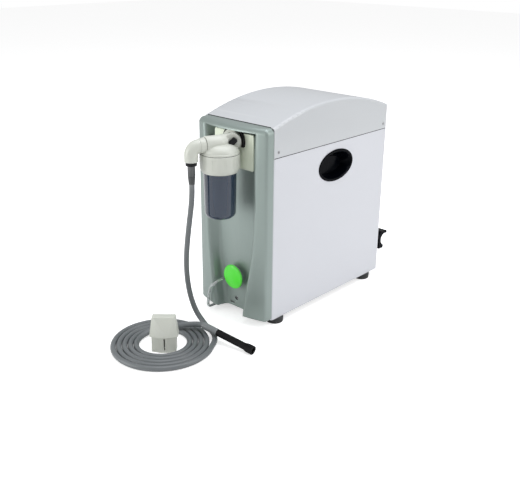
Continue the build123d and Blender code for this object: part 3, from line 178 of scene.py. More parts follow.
class SurfaceGroups:
    """Shader node groups that several finishes share, each built once."""

    @staticmethod
    def _new(name: str, inputs: dict[str, object], outputs: dict[str, str]) -> bpy.types.NodeTree:
        """Make an empty group with named sockets.

        Args:
            name: The group's name.
            inputs: Socket name to its default value; a tuple makes a colour socket.
            outputs: Socket name to its socket type.

        Returns:
            The new node tree.
        """
        tree = bpy.data.node_groups.new(name, "ShaderNodeTree")
        for socket, value in inputs.items():
            kind = "NodeSocketColor" if isinstance(value, tuple) else "NodeSocketFloat"
            made = tree.interface.new_socket(socket, in_out="INPUT", socket_type=kind)
            made.default_value = value
        for socket, kind in outputs.items():
            tree.interface.new_socket(socket, in_out="OUTPUT", socket_type=kind)
        return tree

    @classmethod
    @cache
    def tone_drift(cls) -> bpy.types.NodeTree:
        """Make the group for large soft changes of tone and a painted highlight that lightens
        convex rims.

        Returns:
            The group; it puts out a colour.
        """
        tree = cls._new(
            "tone_drift",
            {"Base": (0.8, 0.8, 0.8, 1.0), "Drift": 0.06, "Size": 9.0, "Rim Light": 0.2},
            {"Color": "NodeSocketColor"},
        )
        given = tree.nodes.new("NodeGroupInput").outputs
        place = tree.nodes.new("ShaderNodeTexCoord").outputs
        shape = tree.nodes.new("ShaderNodeNewGeometry").outputs
        clouds = add_node(
            tree, "ShaderNodeTexNoise",
            {"Vector": place["Object"], "Scale": given["Size"], "Detail": 3.0},
        )
        centred = add_node(tree, "ShaderNodeMath", {0: clouds.outputs["Fac"], 1: 0.5}, "SUBTRACT")
        scaled = add_node(
            tree, "ShaderNodeMath", {0: centred.outputs[0], 1: given["Drift"], 2: 1.0},
            "MULTIPLY_ADD",
        )
        # Painted highlight: convex rims are blended towards white by their pointiness
        rim = add_node(
            tree, "ShaderNodeMapRange",
            {"Value": shape["Pointiness"], "From Min": 0.5, "From Max": 0.62},
        )
        lift = add_node(
            tree, "ShaderNodeMath", {0: rim.outputs["Result"], 1: given["Rim Light"]}, "MULTIPLY"
        )
        toned = add_node(
            tree, "ShaderNodeVectorMath", {0: given["Base"], "Scale": scaled.outputs[0]}, "SCALE"
        )
        lit = tree.nodes.new("ShaderNodeMix")
        lit.data_type = "RGBA"
        lit.inputs[7].default_value = (1.0, 1.0, 1.0, 1.0)
        tree.links.new(lift.outputs[0], lit.inputs[0])
        tree.links.new(toned.outputs[0], lit.inputs[6])
        add_node(tree, "NodeGroupOutput", {"Color": lit.outputs[2]})
        return tree

    @classmethod
    @cache
    def fine_grain(cls) -> bpy.types.NodeTree:
        """Make the group for moulding grain.

        Returns:
            The group; it puts out a height for the bump and the roughness that goes with it.
        """
        tree = cls._new(
            "fine_grain",
            {"Scale": 900.0, "Smooth Part": 0.35, "Rough Part": 0.5, "Smears": 14.0},
            {"Height": "NodeSocketFloat", "Roughness": "NodeSocketFloat"},
        )
        given = tree.nodes.new("NodeGroupInput").outputs
        place = tree.nodes.new("ShaderNodeTexCoord").outputs
        grain = add_node(
            tree, "ShaderNodeTexNoise",
            {"Vector": place["Object"], "Scale": given["Scale"], "Detail": 2.0},
        )
        smears = add_node(
            tree, "ShaderNodeTexNoise",
            {
                "Vector": place["Object"], "Scale": given["Smears"], "Detail": 4.0,
                "Distortion": 0.6,
            },
        )
        rough = add_node(
            tree, "ShaderNodeMapRange",
            {
                "Value": smears.outputs["Fac"], "From Min": 0.3, "From Max": 0.7,
                "To Min": given["Smooth Part"], "To Max": given["Rough Part"],
            },
        )
        add_node(
            tree, "NodeGroupOutput",
            {"Height": grain.outputs["Fac"], "Roughness": rough.outputs["Result"]},
        )
        return tree

    @classmethod
    @cache
    def brushed_lines(cls) -> bpy.types.NodeTree:
        """Make the group for long fine lines, as on drawn or turned metal.

        Returns:
            The group; it puts out a height for the bump.
        """
        tree = cls._new(
            "brushed_lines", {"Scale": 300.0, "Stretch": 30.0}, {"Height": "NodeSocketFloat"}
        )
        given = tree.nodes.new("NodeGroupInput").outputs
        place = tree.nodes.new("ShaderNodeTexCoord").outputs
        parts = add_node(tree, "ShaderNodeSeparateXYZ", {0: place["Object"]}).outputs
        shorter = add_node(tree, "ShaderNodeMath", {0: parts["Z"], 1: given["Stretch"]}, "DIVIDE")
        joined = add_node(
            tree, "ShaderNodeCombineXYZ",
            {"X": parts["X"], "Y": parts["Y"], "Z": shorter.outputs[0]},
        )
        lines = add_node(
            tree, "ShaderNodeTexNoise", {"Vector": joined.outputs[0], "Scale": given["Scale"]}
        )
        add_node(tree, "NodeGroupOutput", {"Height": lines.outputs["Fac"]})
        return tree


@dataclass(frozen=True)
class Finish:
    """One finish of the object, as a Principled material with grain, soft tone changes and a
    painted highlight on convex rims.
    """

    name: str
    slot: str
    colour: tuple[float, float, float, float]
    smooth: float = 0.3
    rough: float = 0.42
    grain: float = 900.0
    bump: float = 0.05
    drift: float = 0.05
    drift_size: float = 9.0
    # Strength of the painted highlight on convex rims
    rim_light: float = 0.12
    metallic: float = 0.0
    coat: float = 0.0
    coat_roughness: float = 0.1
    transmission: float = 0.0
    ior: float = 1.45
    brushed: bool = False
    specular: float = 0.5

    @staticmethod
    def _group(
        tree: bpy.types.NodeTree, group: bpy.types.NodeTree, values: dict[str, object]
    ) -> bpy.types.Node:
        """Place a group in a material with its own values.

        Args:
            tree: The material's node tree.
            group: The group to place.
            values: Socket name to value.

        Returns:
            The group's node.
        """
        node = tree.nodes.new("ShaderNodeGroup")
        node.node_tree = group
        for socket, value in values.items():
            node.inputs[socket].default_value = value
        return node

    @cache
    def material(self) -> bpy.types.Material:
        """Build the finish's material on first use.

        Returns:
            The material.
        """
        made = bpy.data.materials.new(self.name)
        made.use_nodes = True
        tree = made.node_tree
        shader = tree.nodes["Principled BSDF"]
        tone = self._group(
            tree,
            SurfaceGroups.tone_drift(),
            {
                "Base": self.colour, "Drift": self.drift, "Size": self.drift_size,
                "Rim Light": self.rim_light,
            },
        )
        tree.links.new(tone.outputs["Color"], shader.inputs["Base Color"])
        grain = self._group(
            tree,
            SurfaceGroups.fine_grain(),
            {"Scale": self.grain, "Smooth Part": self.smooth, "Rough Part": self.rough},
        )
        tree.links.new(grain.outputs["Roughness"], shader.inputs["Roughness"])
        raised = self._group(tree, SurfaceGroups.brushed_lines(), {}) if self.brushed else grain
        bump = add_node(
            tree, "ShaderNodeBump",
            {"Strength": self.bump, "Distance": BUMP_DEPTH, "Height": raised.outputs["Height"]},
        )
        tree.links.new(bump.outputs["Normal"], shader.inputs["Normal"])
        for socket, value in (
            ("Metallic", self.metallic), ("Coat Weight", self.coat),
            ("Coat Roughness", self.coat_roughness), ("IOR", self.ior),
            ("Transmission Weight", self.transmission), ("Specular IOR Level", self.specular),
        ):
            shader.inputs[socket].default_value = value
        return made


# After the colour: the roughness of smooth and rough parts, the grain's scale and the bump
CASE_WHITE = Finish(
    "case_white_gloss", "case_white", srgb(210, 212, 217), 0.3, 0.3, bump=0.02, coat=0.2,
    drift=0.004, drift_size=4.0,
)
# Painted shade: the same white paint as the case, made greyer to stand for the shade on the lid's
# sides
LID_WHITE_SHADED = Finish(
    "lid_white_gloss_shaded", "lid_white", srgb(197, 200, 202), 0.31, 0.31, bump=0.02, coat=0.2,
    drift=0.004, drift_size=4.0,
)
PANEL_SILVER = Finish(
    "panel_silver_green", "panel_silver", srgb(149, 162, 157), 0.4, 0.44, 1400.0, 0.06,
    metallic=0.5, coat=0.25, coat_roughness=0.25, drift=0.01, rim_light=0.06,
)
CREAM = Finish(
    "cream_moulded", "cream", srgb(205, 208, 198), 0.32, 0.4, 1100.0, 0.04, coat=0.15, drift=0.03
)
# Painted light: the bracket's cream is made much lighter than the other cream parts to lift the
# shade that the strainer head casts on it
BRACKET_CREAM_LIFTED = Finish(
    "bracket_cream_painted_light", "cream", srgb(238, 246, 226), 0.36, 0.46, 1100.0, 0.05, drift=0.03
)
BLACK_GLOSS = Finish(
    "black_gloss", "black_plastic", srgb(15, 17, 19), 0.14, 0.22, rim_light=0.03, specular=0.3
)
GRIP_BLACK = Finish(
    "grip_black", "black_plastic", srgb(3, 5, 10), 0.18, 0.2, bump=0.0, rim_light=0.0, specular=0.06
)
BLACK_RUBBER = Finish(
    "black_rubber", "rubber_black", srgb(9, 9, 11), 0.5, 0.62, 700.0, 0.1, rim_light=0.02,
    specular=0.12,
)
FOOT_RUBBER = Finish(
    "foot_rubber", "rubber_grey", srgb(38, 40, 40), 0.5, 0.62, 700.0, 0.15, rim_light=0.1
)
GREY_RUBBER = Finish("grey_rubber", "rubber_grey", srgb(66, 69, 70), 0.45, 0.58, 700.0, 0.15)
SMOKE_BLUE = Finish(
    "smoke_blue_bowl", "smoke_blue", srgb(49, 64, 84), 0.08, 0.14, 200.0, 0.01, drift=0.1,
    rim_light=0.0, coat=0.6, coat_roughness=0.05, transmission=0.25, ior=1.49,
)
CLEAR_TUBE = Finish(
    "clear_tube", "clear_tube", srgb(226, 231, 230), 0.1, 0.14, 300.0, 0.0, drift=0.02,
    transmission=0.6, rim_light=0.0, ior=1.35,
)
SCREEN_WHITE = Finish("screen_white", "screen_white", srgb(206, 206, 200), 0.5, 0.6, 1500.0, 0.2)
GREEN = Finish(
    "button_green", "green", srgb(92, 242, 66), 0.28, 0.36, 900.0, 0.02, coat=0.2, drift=0.05,
    rim_light=0.15, specular=0.3,
)
HOSE_GREY = Finish(
    "hose_grey", "hose_grey", srgb(101, 106, 108), 0.34, 0.44, 500.0, 0.08, coat=0.15, drift=0.06
)
SLEEVE_GREY = Finish("sleeve_grey", "sleeve_grey", srgb(122, 127, 128), 0.32, 0.42, coat=0.15)
STEEL = Finish(
    "zinc_steel", "steel", srgb(176, 176, 178), 0.25, 0.4, metallic=1.0, brushed=True, bump=0.12
)
SHEET_GREY = Finish("sheet_grey", "sheet_grey", srgb(150, 152, 152), 0.4, 0.55, 500.0, 0.15)
MOTOR_METAL = Finish(
    "motor_cast", "motor_metal", srgb(168, 168, 170), 0.4, 0.6, 400.0, 0.3, metallic=0.9
)
IRON = Finish(
    "iron_turned", "iron", srgb(88, 88, 90), 0.35, 0.5, metallic=0.9, brushed=True, bump=0.2
)
# Painted shade: this dark finish stands in for the shade in the lid's seams and front gap, in the
# screws' cross recesses and in the groove under the strainer's ring
PAINTED_SHADE = Finish("painted_shade_dark", "black_plastic", srgb(30, 31, 31), 0.6, 0.8, rim_light=0.0)


# --------------------------------------------------------------------------- mesh helpers


class Bench:
    """Makes and dresses pieces."""

    def __init__(self, frame: dict) -> None:
        """Keep the frame.
        """
        self.nodes: dict[str, bpy.types.Object] = frame["nodes"]
        groups = frame["record"]["behaviour"]["bodies"]
        self.body_of = {node: body for body, members in groups.items() for node in members}

    def link(self, name: str, mesh: bpy.types.Mesh) -> bpy.types.Object:
        """Put a mesh in the scene as an object at the origin.

        Args:
            name: The object's name.
            mesh: Its mesh.

        Returns:
            The object.
        """
        made = bpy.data.objects.new(name, mesh)
        bpy.context.scene.collection.objects.link(made)
        return made

    def dress(
        self, piece: bpy.types.Object, finish: Finish, body: str, stands_for: Sequence[str] = ()
    ) -> bpy.types.Object:
        """Give a piece its finish, body and the nodes it stands for.

        Args:
            piece: The finished object, in place.
            finish: Its finish.
            body: The body that it rides on.
            stands_for: CAD nodes that it replaces.

        Returns:
            The same piece.
        """
        piece.data.materials.clear()
        piece.data.materials.append(finish.material())
        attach(piece, body)
        if stands_for:
            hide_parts(*stands_for)
        LOG.info("piece %s on %s", piece.name, body)
        return piece

    def paint(self, node: str, finish: Finish) -> None:
        """Give a CAD node that stays its finish.

        Args:
            node: The CAD node's name.
            finish: Its finish.
        """
        held = self.nodes[node]
        held.data.materials.clear()
        held.data.materials.append(finish.material())

    def refine(
        self, node: str, finish: Finish, edge: float = 0.4, sharp: float = SHARP_TURN,
        steps: int = 2,
    ) -> bpy.types.Object:
        """Stand a merged copy with soft edges and smooth curves in a CAD node's place.

        Args:
            node: The CAD node's name.
            finish: Its finish.
            edge: Width of the softened edge, in millimetres.
            sharp: Turn above which an edge counts as sharp, in degrees.
            steps: Segments of the softened edge.

        Returns:
            The new piece.
        """
        mesh = self.nodes[node].data.copy()
        mesh.materials.clear()
        form = bmesh.new()
        form.from_mesh(mesh)
        bmesh.ops.remove_doubles(form, verts=form.verts, dist=MERGE_REACH)
        bmesh.ops.dissolve_limit(
            form, angle_limit=math.radians(FLAT_TURN), verts=form.verts, edges=form.edges,
            use_dissolve_boundaries=False,
        )
        for face in form.faces:
            face.smooth = True
        for rim in form.edges:
            rim.smooth = not (rim.is_manifold and rim.calc_face_angle(0.0) > math.radians(sharp))
        form.to_mesh(mesh)
        form.free()
        piece = self.link(f"{node}_shell", mesh)
        if edge > 0:
            soften = piece.modifiers.new("edges", "BEVEL")
            soften.width = edge * MM
            soften.segments = steps
            soften.limit_method = "ANGLE"
            soften.angle_limit = math.radians(sharp)
            soften.harden_normals = True
            soften.miter_outer = "MITER_ARC"
        return self.dress(piece, finish, self.body_of[node], [node])

    def frozen(self, piece: bpy.types.Object, name: str) -> bpy.types.Object:
        """Turn an object with modifiers into a plain mesh object.

        Args:
            piece: The object to evaluate; it is removed.
            name: The new object's name.

        Returns:
            The plain object.
        """
        graph = bpy.context.evaluated_depsgraph_get()
        mesh = bpy.data.meshes.new_from_object(piece.evaluated_get(graph))
        bpy.data.objects.remove(piece)
        return self.link(name, mesh)


def mesh_from(
    points: Sequence[Vector], faces: Sequence[Sequence[int]], name: str
) -> bpy.types.Mesh:
    """Build a flat-shaded mesh from points and faces.

    Args:
        points: Vertex places.
        faces: Vertex indices of each face.
        name: The mesh's name.

    Returns:
        The mesh.
    """
    mesh = bpy.data.meshes.new(name)
    mesh.from_pydata([tuple(p) for p in points], [], [tuple(f) for f in faces])
    for face in mesh.polygons:
        face.use_smooth = False
    mesh.update()
    return mesh


def block(sizes: tuple[float, float, float], name: str) -> bpy.types.Mesh:
    """Build a block centred on the origin.

    Args:
        sizes: Its sizes along X, Y and Z, in millimetres.
        name: The mesh's name.

    Returns:
        The mesh.
    """
    x, y, z = (size / 2 * MM for size in sizes)
    points = [Vector((a, b, c)) for c in (-z, z) for b in (-y, y) for a in (-x, x)]
    faces = [(0, 2, 3, 1), (4, 5, 7, 6), (0, 1, 5, 4), (2, 6, 7, 3), (0, 4, 6, 2), (1, 3, 7, 5)]
    return mesh_from(points, faces, name)


def turned(
    profile: Sequence[tuple[float, float]], centre: Vector, way: Vector, name: str, sides: int = 96
) -> bpy.types.Mesh:
    """Turn a closed profile round an axis.

    Args:
        profile: Pairs of radius and distance along the axis, in millimetres; a radius of zero
            closes a pole.
        centre: A point of the axis, in metres.
        way: The axis direction.
        name: The mesh's name.
        sides: Steps round the axis.

    Returns:
        The mesh, closed, with faces that point outwards.
    """
    frame = way.to_track_quat("Z", "Y").to_matrix()
    form = bmesh.new()
    rings: list[list[bmesh.types.BMVert]] = []
    for radius, along in profile:
        if radius <= 0:
            rings.append([form.verts.new(centre + frame @ Vector((0, 0, along * MM)))])
            continue
        ring = []
        for step in range(sides):
            turn = 2 * math.pi * step / sides
            local = Vector((radius * math.cos(turn), radius * math.sin(turn), along)) * MM
            ring.append(form.verts.new(centre + frame @ local))
        rings.append(ring)
    count = len(rings)
    closed = profile[0][0] > 0 and profile[-1][0] > 0
    for index in range(count if closed else count - 1):
        here, there = rings[index], rings[(index + 1) % count]
        for step in range(sides):
            after = (step + 1) % sides
            if len(here) == 1 and len(there) == 1:
                continue
            if len(here) == 1:
                form.faces.new((here[0], there[step], there[after]))
            elif len(there) == 1:
                form.faces.new((here[step], there[0], here[after]))
            else:
                form.faces.new((here[step], there[step], there[after], here[after]))
    bmesh.ops.recalc_face_normals(form, faces=form.faces)
    for face in form.faces:
        face.smooth = True
    for rim in form.edges:
        rim.smooth = rim.calc_face_angle(0.0) < math.radians(SHARP_TURN)
    mesh = bpy.data.meshes.new(name)
    form.to_mesh(mesh)
    form.free()
    return mesh


class Pattern:
    """A Geometry Nodes tree that sets copies of an element on points, turned as each point says."""

    def __init__(self, name: str) -> None:
        """Build the tree.

        Args:
            name: The tree's name.
        """
        tree = bpy.data.node_groups.new(name, "GeometryNodeTree")
        face = tree.interface
        face.new_socket("Geometry", in_out="INPUT", socket_type="NodeSocketGeometry")
        self.element = face.new_socket("Element", in_out="INPUT", socket_type="NodeSocketObject")
        self.size = face.new_socket("Size", in_out="INPUT", socket_type="NodeSocketFloat")
        self.finish = face.new_socket("Finish", in_out="INPUT", socket_type="NodeSocketMaterial")
        face.new_socket("Geometry", in_out="OUTPUT", socket_type="NodeSocketGeometry")
        given = tree.nodes.new("NodeGroupInput").outputs
        source = add_node(tree, "GeometryNodeObjectInfo", {"Object": given["Element"]})
        turn = tree.nodes.new("GeometryNodeInputNamedAttribute")
        turn.data_type = "FLOAT_VECTOR"
        turn.inputs["Name"].default_value = "turn"
        euler = add_node(tree, "FunctionNodeEulerToRotation", {0: turn.outputs["Attribute"]})
        copies = add_node(
            tree, "GeometryNodeInstanceOnPoints",
            {
                "Points": given["Geometry"], "Instance": source.outputs["Geometry"],
                "Rotation": euler.outputs[0], "Scale": given["Size"],
            },
        )
        real = add_node(
            tree, "GeometryNodeRealizeInstances", {"Geometry": copies.outputs["Instances"]}
        )
        coat = add_node(
            tree, "GeometryNodeSetMaterial",
            {"Geometry": real.outputs["Geometry"], "Material": given["Finish"]},
        )
        add_node(tree, "NodeGroupOutput", {"Geometry": coat.outputs["Geometry"]})
        self.tree = tree

    def lay(
        self, bench: Bench, name: str, element: bpy.types.Mesh,
        places: Sequence[tuple[Vector, Vector]], finish: Finish, body: str,
    ) -> bpy.types.Object:
        """Lay copies of an element.

        Args:
            bench: Where pieces are made.
            name: The new piece's name.
            element: The mesh to repeat, in metres round its own origin.
            places: A point and its turn as Euler angles, for each copy.
            finish: The copies' finish.
            body: The body that they ride on.

        Returns:
            The piece with all the copies.
        """
        cloud = bpy.data.meshes.new(name + "_points")
        cloud.from_pydata([tuple(p) for p, _ in places], [], [])
        turns = cloud.attributes.new("turn", "FLOAT_VECTOR", "POINT")
        for index, (_, turn) in enumerate(places):
            turns.data[index].vector = turn
        holder = bench.link(name + "_points", cloud)
        sample = bench.link(name + "_element", element)
        run = holder.modifiers.new("pattern", "NODES")
        run.node_group = self.tree
        run[self.element.identifier] = sample
        run[self.size.identifier] = 1.0
        run[self.finish.identifier] = finish.material()
        bpy.context.view_layer.update()
        piece = bench.frozen(holder, name)
        bpy.data.objects.remove(sample)
        return bench.dress(piece, finish, body)


# --------------------------------------------------------------------------- sub-assemblies


@dataclass
class Casing:
    """The white sheet case, its lid, grips and feet."""

    bench: Bench
    pattern: Pattern
    seam_strip: tuple[float, float, float] = (1.2, CASE_DEPTH - 8.0, 1.5)
    seam_sink: float = 0.57
    seam_shift: float = 1.5
    seam_lift: float = 0.6
    gap_strip: tuple[float, float, float] = (2 * HALF_WIDTH - 20.0, 1.0, 3.0)
    gap_behind: float = 0.6
    gap_sink: float = 0.3
    cross_arm: float = 2.1
    cross_half: float = 0.38
    cross_proud: float = 0.06
    cross_deep: float = 0.6
    lid_screw_depths: tuple[float, float] = (16.0, 408.0)
    lid_screw_height: float = 396.0
    lid_screw_sink: float = 0.2
    panel_screw: tuple[float, float, float] = (-3.5, -0.4, 23.0)
    lid_cross_turn: float = 0.6
    panel_cross_turn: float = 0.4
    foot_cross_turn: float = 0.5
    foot_screw_x: float = 87.5
    foot_screw_depths: tuple[float, float] = (31.0, 378.0)
    foot_screw_height: float = 3.0

    def build(self) -> None:
        """Dress the whole case."""
        refine = self.bench.refine
        for side in ("left", "right"):
            refine(f"side_panel_{side}", CASE_WHITE, edge=0.3)
            refine(f"grip_cup_{side}", GRIP_BLACK, edge=0.2, sharp=40)
        refine("rear_panel", CASE_WHITE, edge=0.2)
        refine("top_cover", LID_WHITE_SHADED, edge=0.3, sharp=40)
        refine("base_tray", SHEET_GREY, edge=0.2)
        self.bench.paint("front_bulkhead", SHEET_GREY)
        self.bench.paint("lid_brackets", SHEET_GREY)
        for place in ("front_left", "front_right", "rear_left", "rear_right"):
            refine(f"foot_{place}", FOOT_RUBBER, edge=0.4)
        refine("foot_screws", STEEL, edge=0.2)
        refine("lid_screws", STEEL, edge=0.15)
        refine("panel_screw", STEEL, edge=0.2)
        self.recesses()
        self.seams()

    def seams(self) -> None:
        """Lay dark strips of painted shade in the lid's side seams and in its gap behind the
        moulded front.
        """
        # Painted shade: the strips stand in for the shadow inside the seams and the gap
        strip = block(self.seam_strip, "seam_strip")
        middle = CASE_DEPTH / 2 - self.seam_shift
        places = []
        for side in (-1, 1):
            out = side * (HALF_WIDTH - self.seam_sink)
            places.append((spot(out, middle, SEAM_HEIGHT + self.seam_lift), Vector()))
        self.pattern.lay(self.bench, "seam_strips", strip, places, PAINTED_SHADE, Body.CASE.value)
        gap = block(self.gap_strip, "gap_strip")
        gap.transform(Matrix.Translation(spot(0, self.gap_behind, CASE_HEIGHT - self.gap_sink)))
        self.bench.dress(self.bench.link("lid_gap_strip", gap), PAINTED_SHADE, Body.CASE.value)

    def cross(self) -> bpy.types.Mesh:
        """Build a small cross that lies in the XY plane and faces +Z.

        Returns:
            The mesh.
        """
        arm, half = self.cross_arm * MM, self.cross_half * MM
        corners = ((-arm, -half), (arm, -half), (arm, half), (-arm, half))
        quads = ((0, 1, 2, 3), (7, 6, 5, 4), (0, 4, 5, 1), (1, 5, 6, 2), (2, 6, 7, 3), (3, 7, 4, 0))
        points, faces = [], []
        for turn in (0.0, math.pi / 2):
            start = len(points)
            for level in (self.cross_proud * MM, -self.cross_deep * MM):
                for x, y in corners:
                    points.append(Matrix.Rotation(turn, 3, "Z") @ Vector((x, y, level)))
            faces.extend([tuple(start + corner for corner in quad) for quad in quads])
        return mesh_from(points, faces, "cross")

    def recesses(self) -> None:
        """Set a dark cross in the head of each visible screw, as painted shade of its cross recess.
        """
        quarter = math.pi / 2
        places = []
        for side in (-1, 1):
            for y in self.lid_screw_depths:
                head = spot(side * (HALF_WIDTH - self.lid_screw_sink), y, self.lid_screw_height)
                places.append((head, Vector((0, side * quarter, self.lid_cross_turn + y))))
        panel_turn = Vector((quarter, self.panel_cross_turn, 0))
        places.append((spot(*self.panel_screw), panel_turn))
        for x in (-self.foot_screw_x, self.foot_screw_x):
            for y in self.foot_screw_depths:
                head = spot(x, y, self.foot_screw_height - CASE_Z)
                places.append((head, Vector((math.pi, 0, self.foot_cross_turn))))
        # Painted shade: the crosses stand in for the shade in the screws' recesses
        self.pattern.lay(
            self.bench, "screw_recesses", self.cross(), places, PAINTED_SHADE, Body.CASE.value
        )


@dataclass
class FrontPanel:
    """The moulded silver front with its scooped channel."""

    bench: Bench

    def build(self) -> None:
        """Dress the front panel and what is fixed in its channel."""
        self.bench.refine("front_panel", PANEL_SILVER, edge=0.3, sharp=42)
        self.bench.refine("filter_bracket", BRACKET_CREAM_LIFTED, edge=0.4)
        self.bench.refine("button_bezel", PANEL_SILVER, edge=0.4)
        self.bench.refine("drain_barbs", CREAM, edge=0.3)
        self.bench.refine("drain_tube", CLEAR_TUBE, edge=0.0)
        self.bench.paint("switch_body", BLACK_GLOSS)


@dataclass
class PushButton:
    """The green mushroom button."""

    bench: Bench
    radius: float = 29.4
    front: float = -25.0
    stem: float = 8.0
    depth: float = 35.0

    def build(self) -> None:
        """Turn the button with its low dome and rounded rim."""
        profile = [
            (0.0, 0.0), (5.0, 0.1), (10.0, 0.42), (14.0, 0.9), (18.0, 1.55), (22.0, 2.3),
            (25.6, 3.2), (27.2, 3.85), (28.2, 4.5), (29.0, 5.4), (self.radius, 6.4), (29.1, 7.5),
            (28.3, 8.5), (self.stem, 8.5), (self.stem, self.depth), (0.0, self.depth),
        ]
        centre = spot(0, self.front, BUTTON_HEIGHT)
        mesh = turned(profile, centre, Vector((0, 1, 0)), "power_button_cap")
        piece = self.bench.link("power_button_cap", mesh)
        self.bench.dress(piece, GREEN, Body.BUTTON.value, ["power_button"])


@dataclass
class Strainer:
    """The strainer head, its ring, bowl, elbow and fittings."""

    bench: Bench
    gasket_radius: float = 32.0
    gasket_bore: float = 10.5
    gasket_below: float = -10.5
    gasket_above: float = 25.4
    gasket_depths: tuple[float, float] = (-24.0, -18.0)
    rim_high: float = 5.0
    rim_radius: float = 41.8
    rim_inset: float = 0.2
    rim_edge: float = 1.0
    neck_inset: float = 1.0
    dome_rise: float = 2.0
    dome_powers: tuple[float, float] = (0.9, 1.25)
    dome_steps: int = 12
    # Painted shade band under the cap's rim: its bore, outer radius and levels
    shade_band_bore: float = 41.0
    shade_band_radius: float = 43.12
    shade_band_levels: tuple[float, float] = (-0.25, 0.6)
    bowl_radius: float = 34.4
    bowl_low: float = 248.0
    bowl_bend: float = 13.0
    bowl_wall: float = 2.5
    bowl_top: float = 356.2
    bowl_rim: float = 365.0
    bowl_lip: tuple[float, float, float] = (36.0, 39.4, 33.5)
    bowl_steps: int = 8
    cuff_bore: float = 4.0
    cuff_radii: tuple[float, float, float] = (6.4, 6.5, 8.2)
    cuff_slope: tuple[float, float] = (1.7, 18.0)
    cuff_grip: float = 19.0
    cuff_top: float = 379.9
    cuff_rings: int = 7
    cuff_ring_start: float = 2.0
    cuff_ring_pitch: float = 2.3
    cuff_ring_depth: float = 0.35
    cuff_ring_levels: tuple[float, float, float] = (1.2, 1.5, 2.0)
    fine_sides: int = 128

    def build(self) -> None:
        """Dress the strainer from the bracket to the hose cuff."""
        refine = self.bench.refine
        refine("filter_head", CREAM, edge=0.9, sharp=40, steps=3)
        self.gasket()
        self.cap()
        refine("boss_plug", BLACK_GLOSS, edge=0.4)
        refine("lock_ring", CREAM, edge=0.6, sharp=36, steps=3)
        self.bowl()
        self.bench.paint("bowl_seal", BLACK_RUBBER)
        refine("filter_screen", SCREEN_WHITE, edge=0.1)
        refine("hose_elbow", CREAM, edge=0.4, sharp=40)
        refine("hose_nut", BLACK_GLOSS, edge=0.2, sharp=40)
        self.cuff()

    def gasket(self) -> None:
        """Build the black gasket behind the flange, flat above and below."""
        sides = self.fine_sides
        points, faces = [], []
        for depth in self.gasket_depths:
            for reach in (self.gasket_radius, self.gasket_bore):
                for step in range(sides):
                    turn = 2 * math.pi * step / sides
                    rise = min(max(reach * math.sin(turn), self.gasket_below), self.gasket_above)
                    across = STRAINER[0] + reach * math.cos(turn)
                    points.append(spot(across, depth, STRAINER[2] + rise))
        for first, second in ((0, 1), (1, 3), (3, 2), (2, 0)):
            here, there = first * sides, second * sides
            for step in range(sides):
                after = (step + 1) % sides
                faces.append((here + step, here + after, there + after, there + step))
        mesh = mesh_from(points, faces, "flange_gasket_cut")
        piece = self.bench.link("flange_gasket_cut", mesh)
        self.bench.dress(piece, BLACK_RUBBER, Body.CASE.value, ["flange_gasket"])

    def cap(self) -> None:
        """Turn the head's full dome and a dark band of painted shade in the groove under its rim.
        """
        low, high = RING_HIGH + self.rim_high, STRAINER[2] + self.dome_rise
        edge, neck = self.rim_radius - self.rim_inset, TUBE - self.neck_inset
        profile = [(0.0, low - self.rim_edge), (edge, low - self.rim_edge), (edge, low)]
        for step in range(1, self.dome_steps + 1):
            turn = math.radians(90 * step / self.dome_steps)
            wide = neck + (self.rim_radius - neck) * math.cos(turn) ** self.dome_powers[0]
            profile.append((wide, low + (high - low) * math.sin(turn) ** self.dome_powers[1]))
        profile.append((0.0, high))
        centre = spot(STRAINER[0], STRAINER[1], 0)
        mesh = turned(profile, centre, UP, "head_dome", self.fine_sides)
        self.bench.dress(self.bench.link("head_dome", mesh), CREAM, Body.CASE.value)
        # Painted shade: a dark band stands for the shadow line between the head's cap and the lock
        # ring
        under, over = (RING_HIGH + level for level in self.shade_band_levels)
        band = [
            (self.shade_band_bore, under), (self.shade_band_radius, under), (self.shade_band_radius, over),
            (self.shade_band_bore, over),
        ]
        mesh = turned(band, centre, UP, "ring_seal", self.fine_sides)
        self.bench.dress(self.bench.link("ring_seal", mesh), PAINTED_SHADE, Body.CASE.value)

    def bowl(self) -> None:
        """Turn the tinted bowl with its rounded bottom and wall."""
        count = self.bowl_steps
        turns = [math.radians(90 * step / count) for step in range(count + 1)]

        def bottom(inset: float) -> list[tuple[float, float]]:
            """Return the rounded corner of the wall's face at an inset."""
            bend = self.bowl_bend - inset
            reach, low = self.bowl_radius - self.bowl_bend, self.bowl_low + self.bowl_bend
            return [(reach + bend * math.sin(turn), low - bend * math.cos(turn)) for turn in turns]

        top, rim = self.bowl_top, self.bowl_rim
        wall, lip, mouth = self.bowl_lip
        profile = [
            (0.0, self.bowl_low), *bottom(0.0), (wall, top), (lip, top), (lip, rim), (mouth, rim),
            *reversed(bottom(self.bowl_wall)), (0.0, self.bowl_low + self.bowl_wall),
        ]
        centre = spot(STRAINER[0], STRAINER[1], 0)
        piece = self.bench.link("bowl_glass", turned(profile, centre, UP, "bowl_glass"))
        self.bench.dress(piece, SMOKE_BLUE, Body.BOWL.value, ["bowl"])

